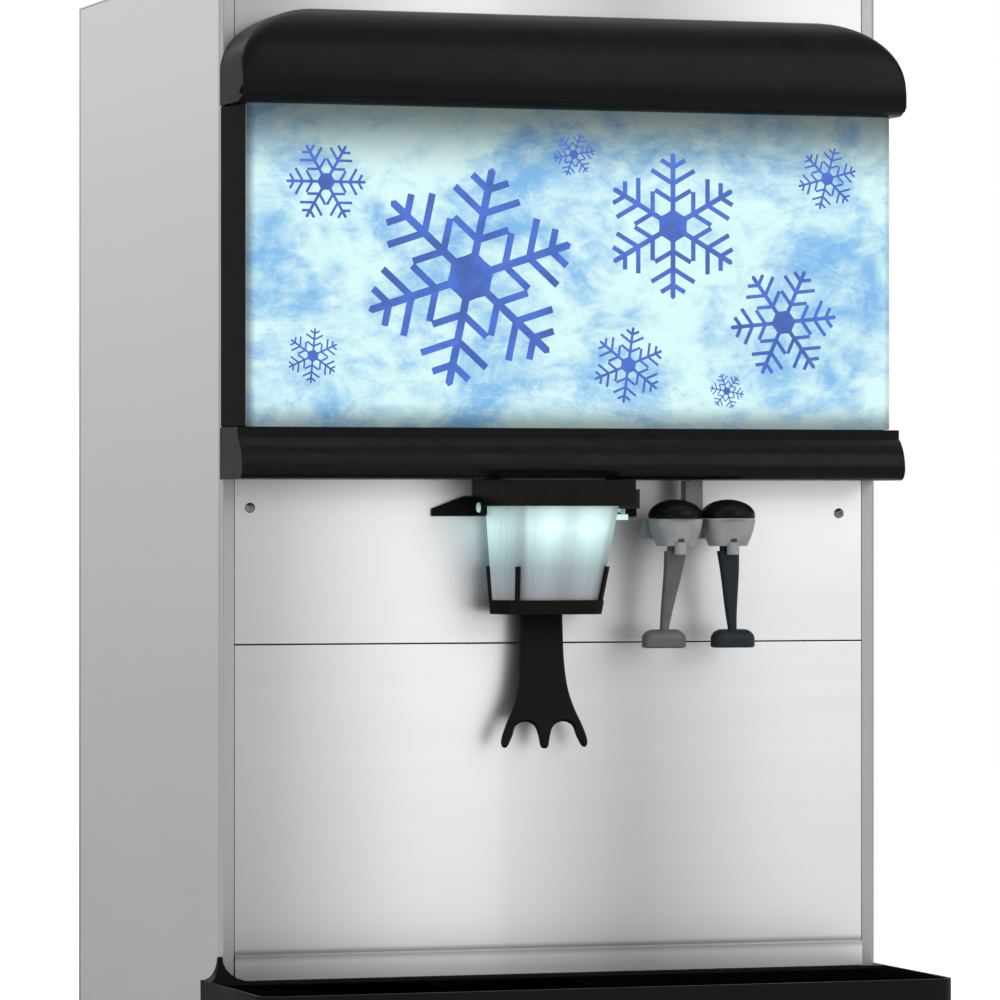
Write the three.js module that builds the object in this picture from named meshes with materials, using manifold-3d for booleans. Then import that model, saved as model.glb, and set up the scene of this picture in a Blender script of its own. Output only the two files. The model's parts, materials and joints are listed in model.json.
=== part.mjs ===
// A countertop ice dispenser: a stainless cabinet on four legs that holds an insulated ice hopper,
// a lit sign over a rocking ice chute, two push-lever water valves and a drip tray.
// Millimetres, X to the right seen from the front, -Y to the front, Z up, origin on the counter
// under the middle of the whole machine.
import * as THREE from "three";
import { mergeVertices } from "three/addons/utils/BufferGeometryUtils.js";
import Module from "manifold-3d";

const wasm = await Module();
wasm.setup();

// Clearances and counts that several pieces share
const gap = 0.3; // left between pieces that touch
const overrun = 3; // how far a cutting shape passes the face that it cuts
const sheet = 1.2; // stainless sheet of the outer panels
const tube = { sides: 12, fineSides: 16, roundSides: 20, bowSteps: 6 };

// Cabinet: heights are measured up from its underside, drops down from what they name
const cabinet = {
  width: 559,
  depth: 456,
  height: 886,
  rimHeight: 76, // the tray's top edge
  railDrop: 419, // from the cabinet's top to the plane that the chute and the valves hang from
  seamDrop: 124, // from there to the seam between the two splash panels
  cornerFlange: 12, // front return of each side panel
  backFlange: 20, // rear return of each side panel
  panelReturn: 10, // folded edge of the front panels
  seamWidth: 1, // slit between the two splash panels
  jointCover: 14, // how far the upper splash runs up behind the sign
  hemHeight: 20, // hem along the foot of the lower splash
  hemStep: 2,
};
const leg = {
  height: 100,
  inset: 52, // leg centre from the cabinet's faces
  plateRadius: 27,
  plateThickness: 4,
  topRadius: 21,
  lowRadius: 16,
};
const foot = { height: 28, radius: 22, neckRadius: 13, padHeight: 7, stemRadius: 6, stemLength: 24 };
const pan = { sheet: 2, flangeHeight: 25 };
const vents = { count: 9, width: 5, height: 46, pitch: 14, low: 54 };

// Fill opening in the top, with its collar and its lift-off lid
const fill = { sideMargin: 32, frontMargin: 18, backMargin: 69, collar: 10, corner: 18 };
const lid = { sheet: 2, skirtHeight: 8, gripLength: 130, gripWidth: 26, gripHeight: 12 };

// Hopper: a tub with a round trough that the paddle wheel turns in
const hopper = {
  frontBay: 91, // machine bay between the front panels and the tub
  backInsulation: 38,
  sideInsulation: 47.5, // from the cabinet's side to the tub's inside
  shoulderHeight: 93, // foot of the upright walls, above the sign's underside
  troughClearance: 7, // between the paddles' tips and the trough
  wall: 3,
  rimWidth: 28,
  bossRadius: 17,
  bossLength: 12,
};
const foam = { frontThickness: 18, underTrough: 17 };
const drain = { radius: 13, bore: 10, setback: 155, tail: 8 };

// Drive, on an axis through the trough's centre
const wheel = {
  radius: 130,
  drop: 47,
  length: 44,
  hubRadius: 24,
  paddles: 8,
  paddle: 6,
  webRadius: 62,
  tipShare: 0.85, // the paddles' outer edge at the back, of the wheel's radius
};
const wheelWeb = { thickness: 4, frontGap: 4 };
const shaft = { radius: 8, running: 0.4, noseLength: 56, pocketDepth: 10, tailGap: 1 };
const bush = { radius: 14, flangeRadius: 20, flangeThickness: 3.4, noseOut: 0.3 };
const gearbox = { width: 84, height: 84, depth: 50, bossRadius: 20, corner: 10, boreDepth: 40 };
const motor = { radius: 29, length: 102, capLength: 14, capRadius: 25, offset: 30 };
const agitator = {
  reach: 115,
  fingerLength: 100,
  rodRadius: 6,
  hubRadius: 18,
  hubLength: 26,
  setback: 178,
};

// Sign: hood, rail, two side frames, lens, reflector, lamps and their driver
const sign = {
  depth: 65, // fullest depth of the rail
  railLow: 7, // heights above the plane that the chute and the valves hang from
  lensBottom: 48,
  lensTop: 303,
  hoodTop: 379,
  wall: 3,
  lensDepth: 50,
  lensThickness: 3,
  lensInset: 7.8, // lens edge from the sign's end
  lensHold: 6, // lens edge held behind the rail's top strip
  frameWidth: 8,
  frameInset: 0.5, // side frame's outer face from the sign's end, at the back
  frameEdge: 0.6, // and from the lens edge, at the front
  edgeOut: 1.5, // how far the hood's and the rail's edges pass the lens
  railCorner: 9,
  railStrip: 7, // upright strip of the rail under the lens
  hoodDepth: 68,
  hoodLip: 16, // from the hood's lower edge up to its fullest depth
  shoulderWidth: 70,
  shoulderHeight: 48,
  crownSetback: 35,
  crownFall: 10, // how much lower the hood meets the front panels
};
const reflector = { sheet: 1.2, flange: 22, frontGap: 1.5 };
const lamp = { radius: 8, spacing: 130, depth: 26, holder: 10, holderInset: 8, holderMargin: 14 };
const driver = { width: 100, height: 40, depth: 24, endMargin: 62, up: 138 };

// Chute group: heights under the sign's underside are negative, depths in front of the panels too
const chute = {
  aside: -17, // chute centre from the cabinet's centre
  wall: 2.5,
  corner: 9,
  top: 11, // drop of its top edge under the sign
  bottom: 89,
  topBack: 9,
  topFront: 91,
  topBackHalf: 47,
  topFrontHalf: 43.5,
  bottomBack: 17,
  bottomFront: 64,
  bottomBackHalf: 45.5,
  bottomFrontHalf: 35.5,
  ribs: 5,
  rib: 2,
  ribStand: 1.4,
};
const trunnion = { radius: 4, depth: 19, drop: 15, leftReach: 54, rightReach: 68, running: 0.4 };
const lug = { depth: 46, width: 8, thickness: 4.5, reach: 63, drop: 20.5 };
const bracket = {
  wingHalf: 87,
  wingShoulder: 60,
  plate: 3,
  plateTop: 6,
  plateBottom: 22,
  wingTop: 16,
  armInner: 48.6,
  arm: 4,
  armDrop: 14,
  earDrop: 22,
  earHalf: 9,
  barGap: 3,
};
const cradle = { wall: 3, drop: 11, postRise: 27, postWidth: 3, passage: 1.5 };
const lever = {
  thickness: 4,
  length: 119, // from the chute's foot down to the prongs' tips
  topHalf: 18, // half widths, and how far under the chute's foot each one is
  waistHalf: 19.5,
  waistDrop: 60,
  flareHalf: 24,
  flareDrop: 80,
  rootHalf: 29.5,
  rootDrop: 93,
  prongHalf: 36,
  prongWidth: 7,
  scallopRise: 17,
  leanShare: 0.085, // how far it comes forward on its way down
  ribWidth: 3,
  ribDepth: 4.5,
};
const throat = {
  halfWidth: 40,
  wall: 2.5,
  mouthLow: 37, // floor and ceiling at the hopper, above the sign's underside
  mouthHigh: 89,
  kneeHeight: 44, // ceiling where it passes the front panels
  noseHeight: 36,
  noseReach: 50,
  outletBack: 13,
  outletFront: 52,
  outletDrop: 5,
};
const gate = {
  thickness: 2,
  axleRadius: 2.2,
  axleHeight: 37,
  axleReach: 5,
  depth: 6,
  length: 37,
  sideGap: 0.8,
  running: 0.3,
};
const micro = { width: 18, depth: 20, height: 15.7, setback: 36, bore: 8 };
const plunger = { radius: 2, running: 0.3, inside: 6.5 };
const spring = { coilRadius: 5.2, wire: 0.6, turns: 5, pitch: 2, stepsPerTurn: 8, sides: 5, leg: 9 };

// Water station: two valves on one manifold, heights under the sign's underside
const water = { aside: 108.5, spacing: 45, depth: 51 };
const valve = {
  width: 40,
  depth: 34,
  top: 24.3,
  bottom: 46,
  corner: 9,
  slotHalf: 6,
  slotDepth: 24,
  slotTop: 29,
  nozzleRadius: 5,
  nozzleBore: 3,
  nozzleDrop: 7,
  nozzleForward: 4.5,
};
const cap = { radius: 22, height: 15.5, brim: 2.5, brimChamfer: 1 };
const pusher = {
  pivotDrop: 37,
  hubRadius: 5,
  hubHalf: 5.5,
  shoulderDrop: 50,
  topHalf: 9,
  topDeep: 5,
  lowHalf: 3,
  lowDeep: 3.5,
  splay: 7, // how far the pad leans away from the other valve
  setback: 8, // and back towards the panel
  padDrop: 113,
  padHeight: 15,
  padRim: 7, // upright rim of the domed pad
  padHalf: 18,
  padDeep: 9.5,
  padCorner: 8,
  domeDraw: 9, // how far the dome draws in from the rim
};
const manifold = { barHeight: 16, barDepth: 10, barTop: 24.3, postWidth: 15, postDepth: 12, socket: 10 };
const line = { radius: 4.75, bay: 24, rise: 28, bow: 14, tail: 9, nutRadius: 9, nutHeight: 12 };

// Electrics in the machine bay
const box = { lineMargin: 45.5, sideMargin: 30, depth: 88, height: 86, wall: 1.5, front: 13, lip: 6 };
const gland = { radius: 11, flangeRadius: 15, flange: 4, bore: 5, aside: 160, setback: 150 };
const rocker = { half: 9.5, width: 12.8, crown: 5, dish: 1.1, root: 5, tilt: 8, setback: 55, height: 176 };
const bezel = {
  half: 16,
  halfWidth: 11.5,
  plate: 2.5,
  pocketHalf: 11,
  barrelDepth: 16,
  wall: 2.5,
  sideGap: 0.6,
};

// Drip tray and its lift-out grid
const tray = {
  reach: 150,
  overhang: 9,
  wrap: 25,
  height: 60,
  wall: 3,
  corner: 14,
  ledge: 7,
  gridDrop: 9,
  curlRise: 20, // the left end curls up round the cabinet's corner
  curlReach: 28, // how far along the front it runs out
  curlTip: 1.5,
  spigotRadius: 12,
  spigotBore: 9,
  spigotDrop: 22,
};
const grid = { thickness: 6, slotWidth: 9, slotPitch: 17, rows: 2, border: 9, bar: 12, edgeGap: 0.6 };

// Planes that the pieces are placed by
const halfWidth = cabinet.width / 2;
const totalDepth = cabinet.depth + tray.reach;
const front = tray.reach - totalDepth / 2; // outer face of the front panels
const back = totalDepth / 2;
const base = leg.height; // underside of the cabinet
const rim = base + cabinet.rimHeight;
const top = base + cabinet.height;
const rail = top - cabinet.railDrop;
const seam = rail - cabinet.seamDrop;
const panelTop = top - sheet - gap; // where the upright panels end, under the top panel
const flangeBack = back - sheet - gap; // rear face of the side panels' rear returns
const tubFront = front + hopper.frontBay;
const tubBack = back - hopper.backInsulation;
const hopperHalf = halfWidth - hopper.sideInsulation;
const troughRadius = wheel.radius + hopper.troughClearance;
const axisX = chute.aside;
const axisZ = rail - wheel.drop;

// Numbers, outlines and solids
const both = [-1, 1];
const spread = (count, pitch) =>
  Array.from({ length: count }, (_, i) => (i - (count - 1) / 2) * pitch);

function arc(centre, radius, from, to, steps) {
  return Array.from({ length: steps + 1 }, (_, i) => {
    const angle = from + ((to - from) * i) / steps;
    return [centre[0] + radius * Math.cos(angle), centre[1] + radius * Math.sin(angle)];
  });
}

// An outline moved outwards by a distance, or inwards by a negative one, with mitred corners.
function grown(points, distance) {
  const count = points.length;
  const area = points.reduce((sum, [x, y], i) => {
    const [nextX, nextY] = points[(i + 1) % count];
    return sum + x * nextY - nextX * y;
  }, 0);
  const normals = points.map(([x, y], i) => {
    const [nextX, nextY] = points[(i + 1) % count];
    const length = Math.hypot(nextX - x, nextY - y) * Math.sign(area);
    return [(nextY - y) / length, (x - nextX) / length];
  });
  return points.map(([x, y], i) => {
    const [ax, ay] = normals[(i + count - 1) % count];
    const [bx, by] = normals[i];
    const scale = distance / (1 + ax * bx + ay * by);
    return [x + (ax + bx) * scale, y + (ay + by) * scale];
  });
}

// An outline with its corners rounded: one radius for all, or one for each corner.
function rounded(points, radii, steps = 4) {
  const count = points.length;
  return points.flatMap((point, i) => {
    const radius = Array.isArray(radii) ? radii[i] : radii;
    if (!radius) return [point];
    const corner = new THREE.Vector2(...point);
    const towards = [points[(i + count - 1) % count], points[(i + 1) % count]].map((p) =>
      new THREE.Vector2(...p).sub(corner).normalize(),
    );
    const half = Math.acos(towards[0].dot(towards[1])) / 2;
    const middle = towards[0].clone().add(towards[1]).normalize();
    const centre = corner.clone().addScaledVector(middle, radius / Math.sin(half));
    const angles = towards.map((way) => {
      const touch = corner.clone().addScaledVector(way, radius / Math.tan(half)).sub(centre);
      return Math.atan2(touch.y, touch.x);
    });
    let turn = angles[1] - angles[0];
    if (turn > Math.PI) turn -= 2 * Math.PI;
    if (turn < -Math.PI) turn += 2 * Math.PI;
    return arc([centre.x, centre.y], radius, angles[0], angles[0] + turn, steps);
  });
}

const oblong = (x0, x1, y0, y1) => [
  [x0, y0],
  [x1, y0],
  [x1, y1],
  [x0, y1],
];

function toSolid(geometry) {
  const bare = geometry.clone();
  bare.deleteAttribute("normal");
  bare.deleteAttribute("uv");
  const merged = mergeVertices(bare);
  return new wasm.Manifold(
    new wasm.Mesh({
      numProp: 3,
      vertProperties: merged.attributes.position.array,
      triVerts: new Uint32Array(merged.index.array),
    }),
  );
}

// An outline pushed along an axis: [x, y] along Z, [x, z] along Y or [y, z] along X.
const outlinePlanes = {
  z: new THREE.Matrix4(),
  y: new THREE.Matrix4().set(1, 0, 0, 0, 0, 0, -1, 0, 0, 1, 0, 0, 0, 0, 0, 1),
  x: new THREE.Matrix4().set(0, 0, 1, 0, 1, 0, 0, 0, 0, 1, 0, 0, 0, 0, 0, 1),
};
function prismShape(points, axis, from, to) {
  const shape = new THREE.Shape(points.map((p) => new THREE.Vector2(...p)));
  const geometry = new THREE.ExtrudeGeometry(shape, { depth: to - from, bevelEnabled: false });
  geometry.translate(0, 0, axis === "y" ? -to : from);
  return geometry.applyMatrix4(outlinePlanes[axis]);
}
const prism = (...outline) => toSolid(prismShape(...outline));
const block = (x0, x1, y0, y1, z0, z1) => prism(oblong(x0, x1, y0, y1), "z", z0, z1);

// A profile of [radius, height] turned about an axis through a place.
const turnedWays = { z: [Math.PI / 2, 0], y: [Math.PI, 0], x: [Math.PI / 2, Math.PI / 2] };
function turned(profile, axis, place, sides = tube.roundSides) {
  const geometry = new THREE.LatheGeometry(
    profile.map((p) => new THREE.Vector2(...p)),
    sides,
  );
  if (axis !== "y") geometry.rotateX(turnedWays.z[0]);
  if (axis === "x") geometry.rotateY(turnedWays.x[1]);
  return toSolid(geometry.translate(...place));
}
function rod(radius, from, to, axis, place, sides = tube.fineSides) {
  const profile = [
    [0, from],
    [radius, from],
    [radius, to],
    [0, to],
  ];
  return turned(profile, axis, place, sides);
}

// A closed solid through loops of points, all with the same count, from the lowest to the highest.
function loft(loops) {
  const count = loops[0].length;
  const points = loops.flat();
  const faces = [];
  for (let level = 0; level + 1 < loops.length; level += 1) {
    for (let i = 0; i < count; i += 1) {
      const low = level * count;
      const next = (i + 1) % count;
      faces.push(low + i, low + next, low + count + next);
      faces.push(low + i, low + count + next, low + count + i);
    }
  }
  const last = (loops.length - 1) * count;
  for (let i = 1; i + 1 < count; i += 1) {
    faces.push(0, i + 1, i);
    faces.push(last, last + i, last + i + 1);
  }
  const geometry = new THREE.BufferGeometry();
  geometry.setAttribute("position", new THREE.Float32BufferAttribute(points.flat(), 3));
  geometry.setIndex(faces);
  return toSolid(geometry);
}

// A path through a list of points, with one step of a bar from each point to the next.
class Route extends THREE.Curve {
  constructor(points) {
    super();
    this.points = points.map((p) => new THREE.Vector3(...p));
  }
  getPointAt(share, target = new THREE.Vector3()) {
    return target.copy(this.points[Math.round(share * (this.points.length - 1))]);
  }
  getTangentAt(share, target = new THREE.Vector3()) {
    const last = this.points.length - 1;
    const index = Math.round(share * last);
    const ahead = this.points[Math.min(index + 1, last)];
    const behind = this.points[Math.max(index - 1, 0)];
    return target.subVectors(ahead, behind).normalize();
  }
}
// A round bar along such a path.
function bar(points, radius, sides) {
  const outline = arc([0, 0], radius, 0, 2 * Math.PI, sides).slice(0, sides);
  const section = new THREE.Shape(outline.map((p) => new THREE.Vector2(...p)));
  const along = { steps: points.length - 1, extrudePath: new Route(points), bevelEnabled: false };
  return toSolid(new THREE.ExtrudeGeometry(section, along));
}

// The least gap between a bar's stretches that lie a number of steps or more apart.
function selfGap(points, radius, steps) {
  const places = points.map((p) => new THREE.Vector3(...p));
  const distances = places.flatMap((place, i) => places.slice(i + steps).map((p) => p.distanceTo(place)));
  return Math.min(...distances) - 2 * radius;
}

const joined = (first, ...others) => others.reduce((sum, other) => sum.add(other), first);
const cut = (first, ...tools) => tools.reduce((rest, tool) => rest.subtract(tool), first);

// Finishes: colour, roughness and metalness
const finishes = {
  stainless: [0xc4c5c7, 0.32, 1],
  stainlessSide: [0xb4b5b7, 0.4, 1],
  galvanised: [0xa9adb0, 0.5, 0.9],
  black: [0x1b1a19, 0.35, 0],
  leverBlack: [0x121314, 0.45, 0],
  clear: [0xd7eef0, 0.15, 0],
  lens: [0xbfe6f8, 0.3, 0],
  white: [0xeef0f0, 0.5, 0],
  liner: [0xe4e7e6, 0.45, 0],
  foam: [0xe2d5a8, 0.9, 0],
  grey: [0x7d8083, 0.4, 0.2],
  rubber: [0x242424, 0.8, 0],
  castGrey: [0x6d7174, 0.55, 0.6],
  motor: [0x2f3438, 0.5, 0.5],
  steel: [0xa2a5a8, 0.3, 1],
  brass: [0xb08d4a, 0.35, 1],
  lampGlass: [0xf6fbff, 0.2, 0],
};

// Makes a named mesh of a solid, and adds it to a group.
function piece(group, name, solid, finish) {
  const mesh = solid.getMesh();
  const geometry = new THREE.BufferGeometry();
  geometry.setAttribute("position", new THREE.BufferAttribute(mesh.vertProperties, 3));
  geometry.setIndex(new THREE.BufferAttribute(mesh.triVerts, 1));
  geometry.computeVertexNormals();
  const [color, roughness, metalness] = finishes[finish];
  const material = new THREE.MeshStandardMaterial({ color, roughness, metalness, flatShading: true });
  const made = new THREE.Mesh(geometry, material);
  made.name = name;
  group.add(made);
  return made;
}

function groupAt(parent, x, y, z) {
  const group = new THREE.Group();
  group.position.set(x, y, z);
  parent.add(group);
  return group;
}

// Shapes that several pieces are cut to

// The hopper's inside, seen from the front: upright walls, slopes and the round trough.
function hopperOutline() {
  const half = hopperHalf;
  const shoulder = rail + hopper.shoulderHeight;
  const touching = (x) => {
    const away = Math.hypot(x - axisX, shoulder - axisZ);
    const bearing = Math.atan2(shoulder - axisZ, x - axisX);
    return bearing + Math.sign(x) * -Math.acos(troughRadius / away);
  };
  const right = touching(half);
  const left = touching(-half) - 2 * Math.PI;
  return [
    [half, panelTop],
    [-half, panelTop],
    [-half, shoulder],
    ...arc([axisX, axisZ], troughRadius, left, right, tube.sides),
    [half, shoulder],
  ];
}

// The ice passage from the hopper to the chute, seen from the side, in the chute group's frame.
function throatOutline() {
  return [
    [tubFront - front, throat.mouthLow],
    [tubFront - front, throat.mouthHigh],
    [0, throat.kneeHeight],
    [-throat.noseReach, throat.noseHeight],
    [-throat.outletFront, -throat.outletDrop],
    [-throat.outletBack, -throat.outletDrop],
  ];
}
// The same passage with walls of a thickness, as a solid placed in the whole machine or in its group.
function throatSolid(thickness, place) {
  const half = throat.halfWidth + thickness;
  const geometry = prismShape(grown(throatOutline(), thickness), "x", -half, half);
  return toSolid(geometry.translate(...place));
}

// The chute's plan at a drop under the sign: a trapezium with round corners, wider at the back.
function chuteLoop(drop, growth) {
  const share = (drop - chute.top) / (chute.bottom - chute.top);
  const mix = (a, b) => a + (b - a) * share;
  const backHalf = mix(chute.topBackHalf, chute.bottomBackHalf);
  const frontHalf = mix(chute.topFrontHalf, chute.bottomFrontHalf);
  const backY = -mix(chute.topBack, chute.bottomBack);
  const frontY = -mix(chute.topFront, chute.bottomFront);
  const corners = [
    [-frontHalf, frontY],
    [frontHalf, frontY],
    [backHalf, backY],
    [-backHalf, backY],
  ];
  const outline = grown(rounded(corners, chute.corner, 3), growth);
  return outline.map(([x, y]) => [x, y, -drop]);
}
const chuteLoft = (lowDrop, highDrop, growth) =>
  loft([chuteLoop(lowDrop, growth), chuteLoop(highDrop, growth)]);

const machine = new THREE.Group();

// Legs and their levelling feet
const legPlaces = {
  front_left: [-1, front + leg.inset],
  front_right: [1, front + leg.inset],
  rear_left: [-1, back - leg.inset],
  rear_right: [1, back - leg.inset],
};
for (const [where, [side, y]] of Object.entries(legPlaces)) {
  const standing = groupAt(machine, side * (halfWidth - leg.inset), y, 0);
  const bore = foot.stemRadius + gap;
  const legTop = leg.height - gap;
  const legProfile = [
    [0, foot.height + foot.stemLength + gap],
    [bore, foot.height + foot.stemLength + gap],
    [bore, foot.height],
    [leg.lowRadius, foot.height],
    [leg.topRadius, legTop - leg.plateThickness],
    [leg.plateRadius, legTop - leg.plateThickness],
    [leg.plateRadius, legTop],
    [0, legTop],
  ];
  const footTop = foot.height - gap;
  const footProfile = [
    [0, 0],
    [foot.radius, 0],
    [foot.radius, foot.padHeight],
    [foot.neckRadius, foot.padHeight * 2],
    [foot.neckRadius, footTop],
    [foot.stemRadius, footTop],
    [foot.stemRadius, foot.height + foot.stemLength],
    [0, foot.height + foot.stemLength],
  ];
  piece(standing, "leg_" + where, turned(legProfile, "z", [0, 0, 0]), "stainless");
  piece(standing, "foot_" + where, turned(footProfile, "z", [0, 0, 0]), "rubber");
}

// Cabinet panels
const sideInner = halfWidth - sheet;
for (const [name, side] of [
  ["side_panel_left", -1],
  ["side_panel_right", 1],
]) {
  const section = [
    [halfWidth, front],
    [halfWidth, flangeBack],
    [halfWidth - cabinet.backFlange, flangeBack],
    [halfWidth - cabinet.backFlange, flangeBack - sheet],
    [sideInner, flangeBack - sheet],
    [sideInner, front + sheet],
    [halfWidth - cabinet.cornerFlange, front + sheet],
    [halfWidth - cabinet.cornerFlange, front],
  ].map(([x, y]) => [side * x, y]);
  let panel = prism(section, "z", base, panelTop);
  if (side > 0) {
    const barrelHalf = bezel.pocketHalf + bezel.wall + gap;
    const barrelWide = rocker.width / 2 + bezel.sideGap + bezel.wall + gap;
    const y = front + rocker.setback;
    const z = base + rocker.height;
    panel = cut(
      panel,
      block(
        sideInner - overrun,
        halfWidth + overrun,
        y - barrelWide,
        y + barrelWide,
        z - barrelHalf,
        z + barrelHalf,
      ),
    );
  }
  piece(machine, name, panel, "stainlessSide");
}

const ventCuts = spread(vents.count, vents.pitch).map((x) =>
  block(
    x - vents.width / 2,
    x + vents.width / 2,
    back - sheet - overrun,
    back + overrun,
    base + vents.low,
    base + vents.low + vents.height,
  ),
);
const backPanel = cut(block(-halfWidth, halfWidth, back - sheet, back, base, panelTop), ...ventCuts);
piece(machine, "back_panel", backPanel, "stainlessSide");

// The base pan: a floor with folded edges and a taller front wall behind the tray.
const panHalf = sideInner - gap;
const panFront = front + sheet + gap;
const panBack = flangeBack - sheet - gap;
const panFloorHole = (x, y, radius) =>
  rod(radius + gap, base - overrun, base + pan.sheet + overrun, "z", [x, y, 0]);
const drainPlace = [axisX, tubFront + drain.setback];
const glandPlace = [gland.aside, front + gland.setback];
const linePlace = [water.aside, front + line.bay];
const basePan = cut(
  joined(
    block(-panHalf, panHalf, panFront, panBack, base, base + pan.sheet),
    block(-panHalf, panHalf, panFront, panFront + pan.sheet, base, rim),
    block(-panHalf, panHalf, panBack - pan.sheet, panBack, base, base + pan.flangeHeight),
    ...both.map((side) =>
      prism(
        oblong(panHalf - pan.sheet, panHalf, panFront, panBack).map(([x, y]) => [side * x, y]),
        "z",
        base,
        base + pan.flangeHeight,
      ),
    ),
  ),
  panFloorHole(...drainPlace, drain.radius),
  panFloorHole(...glandPlace, gland.radius),
  panFloorHole(...linePlace, line.radius),
);
piece(machine, "base_pan", basePan, "galvanised");

// A front panel: a face between the corner flanges, with its edges folded back.
function frontPanel(low, high) {
  const half = halfWidth - cabinet.cornerFlange - gap;
  return cut(
    block(-half, half, front, front + cabinet.panelReturn, low, high),
    block(
      -half + sheet,
      half - sheet,
      front + sheet,
      front + cabinet.panelReturn + overrun,
      low + sheet,
      high - sheet,
    ),
  );
}
const chutePlace = [chute.aside, front, rail];
const panelPass = throatSolid(throat.wall + gap, chutePlace);
const linePass = rod(line.radius + gap * 2, front - overrun, front + cabinet.panelReturn, "y", [
  water.aside,
  0,
  rail + line.rise,
]);
const splashTop = rail + cabinet.jointCover;
const halfSeam = cabinet.seamWidth / 2;
const lowerSplash = joined(
  frontPanel(rim + gap, seam - halfSeam),
  block(
    cabinet.cornerFlange + gap - halfWidth,
    halfWidth - cabinet.cornerFlange - gap,
    front - cabinet.hemStep,
    front + sheet,
    rim + gap,
    rim + gap + cabinet.hemHeight,
  ),
);
piece(machine, "lower_splash_panel", lowerSplash, "stainless");
const upperSplash = cut(frontPanel(seam + halfSeam, splashTop), panelPass);
piece(machine, "upper_splash_panel", upperSplash, "stainless");
piece(
  machine,
  "front_top_panel",
  cut(frontPanel(splashTop + gap, panelTop), panelPass, linePass),
  "stainless",
);

// Top panel, its fill collar and the lift-off lid
const fillHalf = hopperHalf - fill.sideMargin;
const fillFront = tubFront + fill.frontMargin;
const fillBack = tubBack - fill.backMargin;
const fillOutline = rounded(oblong(-fillHalf, fillHalf, fillFront, fillBack), fill.corner);
const topPanel = cut(
  joined(
    block(-halfWidth, halfWidth, front, back, top - sheet, top),
    prism(grown(fillOutline, sheet), "z", top - sheet, top + fill.collar),
  ),
  prism(fillOutline, "z", top - sheet - overrun, top + fill.collar + overrun),
);
piece(machine, "top_panel", topPanel, "stainless");
const lidBottom = top + fill.collar + gap;
const lidTop = lidBottom + lid.sheet;
const lidInner = grown(fillOutline, sheet + gap * 2);
const fillMiddle = (fillFront + fillBack) / 2;
const hopperLid = joined(
  cut(
    prism(grown(lidInner, lid.sheet), "z", lidBottom - lid.skirtHeight, lidTop),
    prism(lidInner, "z", lidBottom - lid.skirtHeight - overrun, lidBottom),
  ),
  prism(
    rounded(
      oblong(
        -lid.gripLength / 2,
        lid.gripLength / 2,
        fillMiddle - lid.gripWidth / 2,
        fillMiddle + lid.gripWidth / 2,
      ),
      lid.gripWidth / 2.5,
    ),
    "z",
    lidBottom,
    lidTop + lid.gripHeight,
  ),
);
piece(machine, "hopper_lid", hopperLid, "black");

// Hopper tub, its foam and its drain
const inside = hopperOutline();
const tubOutline = grown(inside, hopper.wall);
const tubTop = top - sheet - gap;
const rimHalf = hopperHalf + hopper.rimWidth;
const mouth = block(
  axisX - throat.halfWidth,
  axisX + throat.halfWidth,
  tubFront - overrun,
  tubFront + hopper.wall + overrun,
  rail + throat.mouthLow,
  rail + throat.mouthHigh,
);
const tubShell = cut(
  joined(
    prism(tubOutline, "y", tubFront, tubBack),
    block(
      -rimHalf,
      rimHalf,
      tubFront - hopper.rimWidth,
      tubBack + hopper.rimWidth,
      tubTop - hopper.wall,
      tubTop,
    ),
  ),
  prism(
    inside.map(([x, z]) => [x, z === panelTop ? z + hopper.wall * 2 : z]),
    "y",
    tubFront + hopper.wall,
    tubBack - hopper.wall,
  ),
  block(
    -rimHalf - overrun,
    rimHalf + overrun,
    tubFront - hopper.rimWidth - overrun,
    tubBack + hopper.rimWidth + overrun,
    tubTop,
    tubTop + hopper.wall * 3,
  ),
  mouth,
);
const shaftEnd = tubBack - hopper.wall - shaft.tailGap;
const hopperTub = cut(
  joined(
    tubShell,
    rod(hopper.bossRadius, tubBack - hopper.wall - hopper.bossLength, tubBack - hopper.wall / 2, "y", [
      axisX,
      0,
      axisZ,
    ]),
  ),
  rod(
    shaft.radius + shaft.running,
    tubBack - hopper.wall - hopper.bossLength - overrun,
    tubBack - hopper.wall - hopper.bossLength + shaft.pocketDepth,
    "y",
    [axisX, 0, axisZ],
  ),
  rod(bush.radius + gap, tubFront - overrun, tubFront + hopper.wall + overrun, "y", [axisX, 0, axisZ]),
  rod(drain.bore, axisZ - troughRadius - hopper.wall - overrun, axisZ, "z", [...drainPlace, 0]),
);
piece(machine, "hopper_tub", hopperTub, "liner");

const foamFront = tubFront - foam.frontThickness;
const foamBottom = axisZ - troughRadius - hopper.wall - gap - foam.underTrough;
const foamTop = tubTop - hopper.wall - gap;
const foamJacket = cut(
  block(-panHalf, panHalf, foamFront, panBack, foamBottom, foamTop),
  prism(
    grown(tubOutline, gap).map(([x, z]) => [x, z > foamTop ? foamTop + overrun : z]),
    "y",
    tubFront - gap,
    tubBack + gap,
  ),
  throatSolid(throat.wall + gap, chutePlace),
  rod(gearbox.bossRadius + gap, foamFront - overrun, tubFront, "y", [axisX, 0, axisZ]),
  rod(drain.radius + gap, foamBottom - overrun, axisZ, "z", [...drainPlace, 0]),
);
piece(machine, "foam_jacket", foamJacket, "foam");

const drainTop = axisZ - troughRadius - hopper.wall - gap;
const drainTube = turned(
  [
    [drain.bore, base - drain.tail],
    [drain.radius, base - drain.tail],
    [drain.radius, drainTop],
    [drain.bore, drainTop],
    [drain.bore, base - drain.tail],
  ],
  "z",
  [...drainPlace, 0],
  tube.fineSides,
);
piece(machine, "hopper_drain_tube", drainTube, "white");

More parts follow.
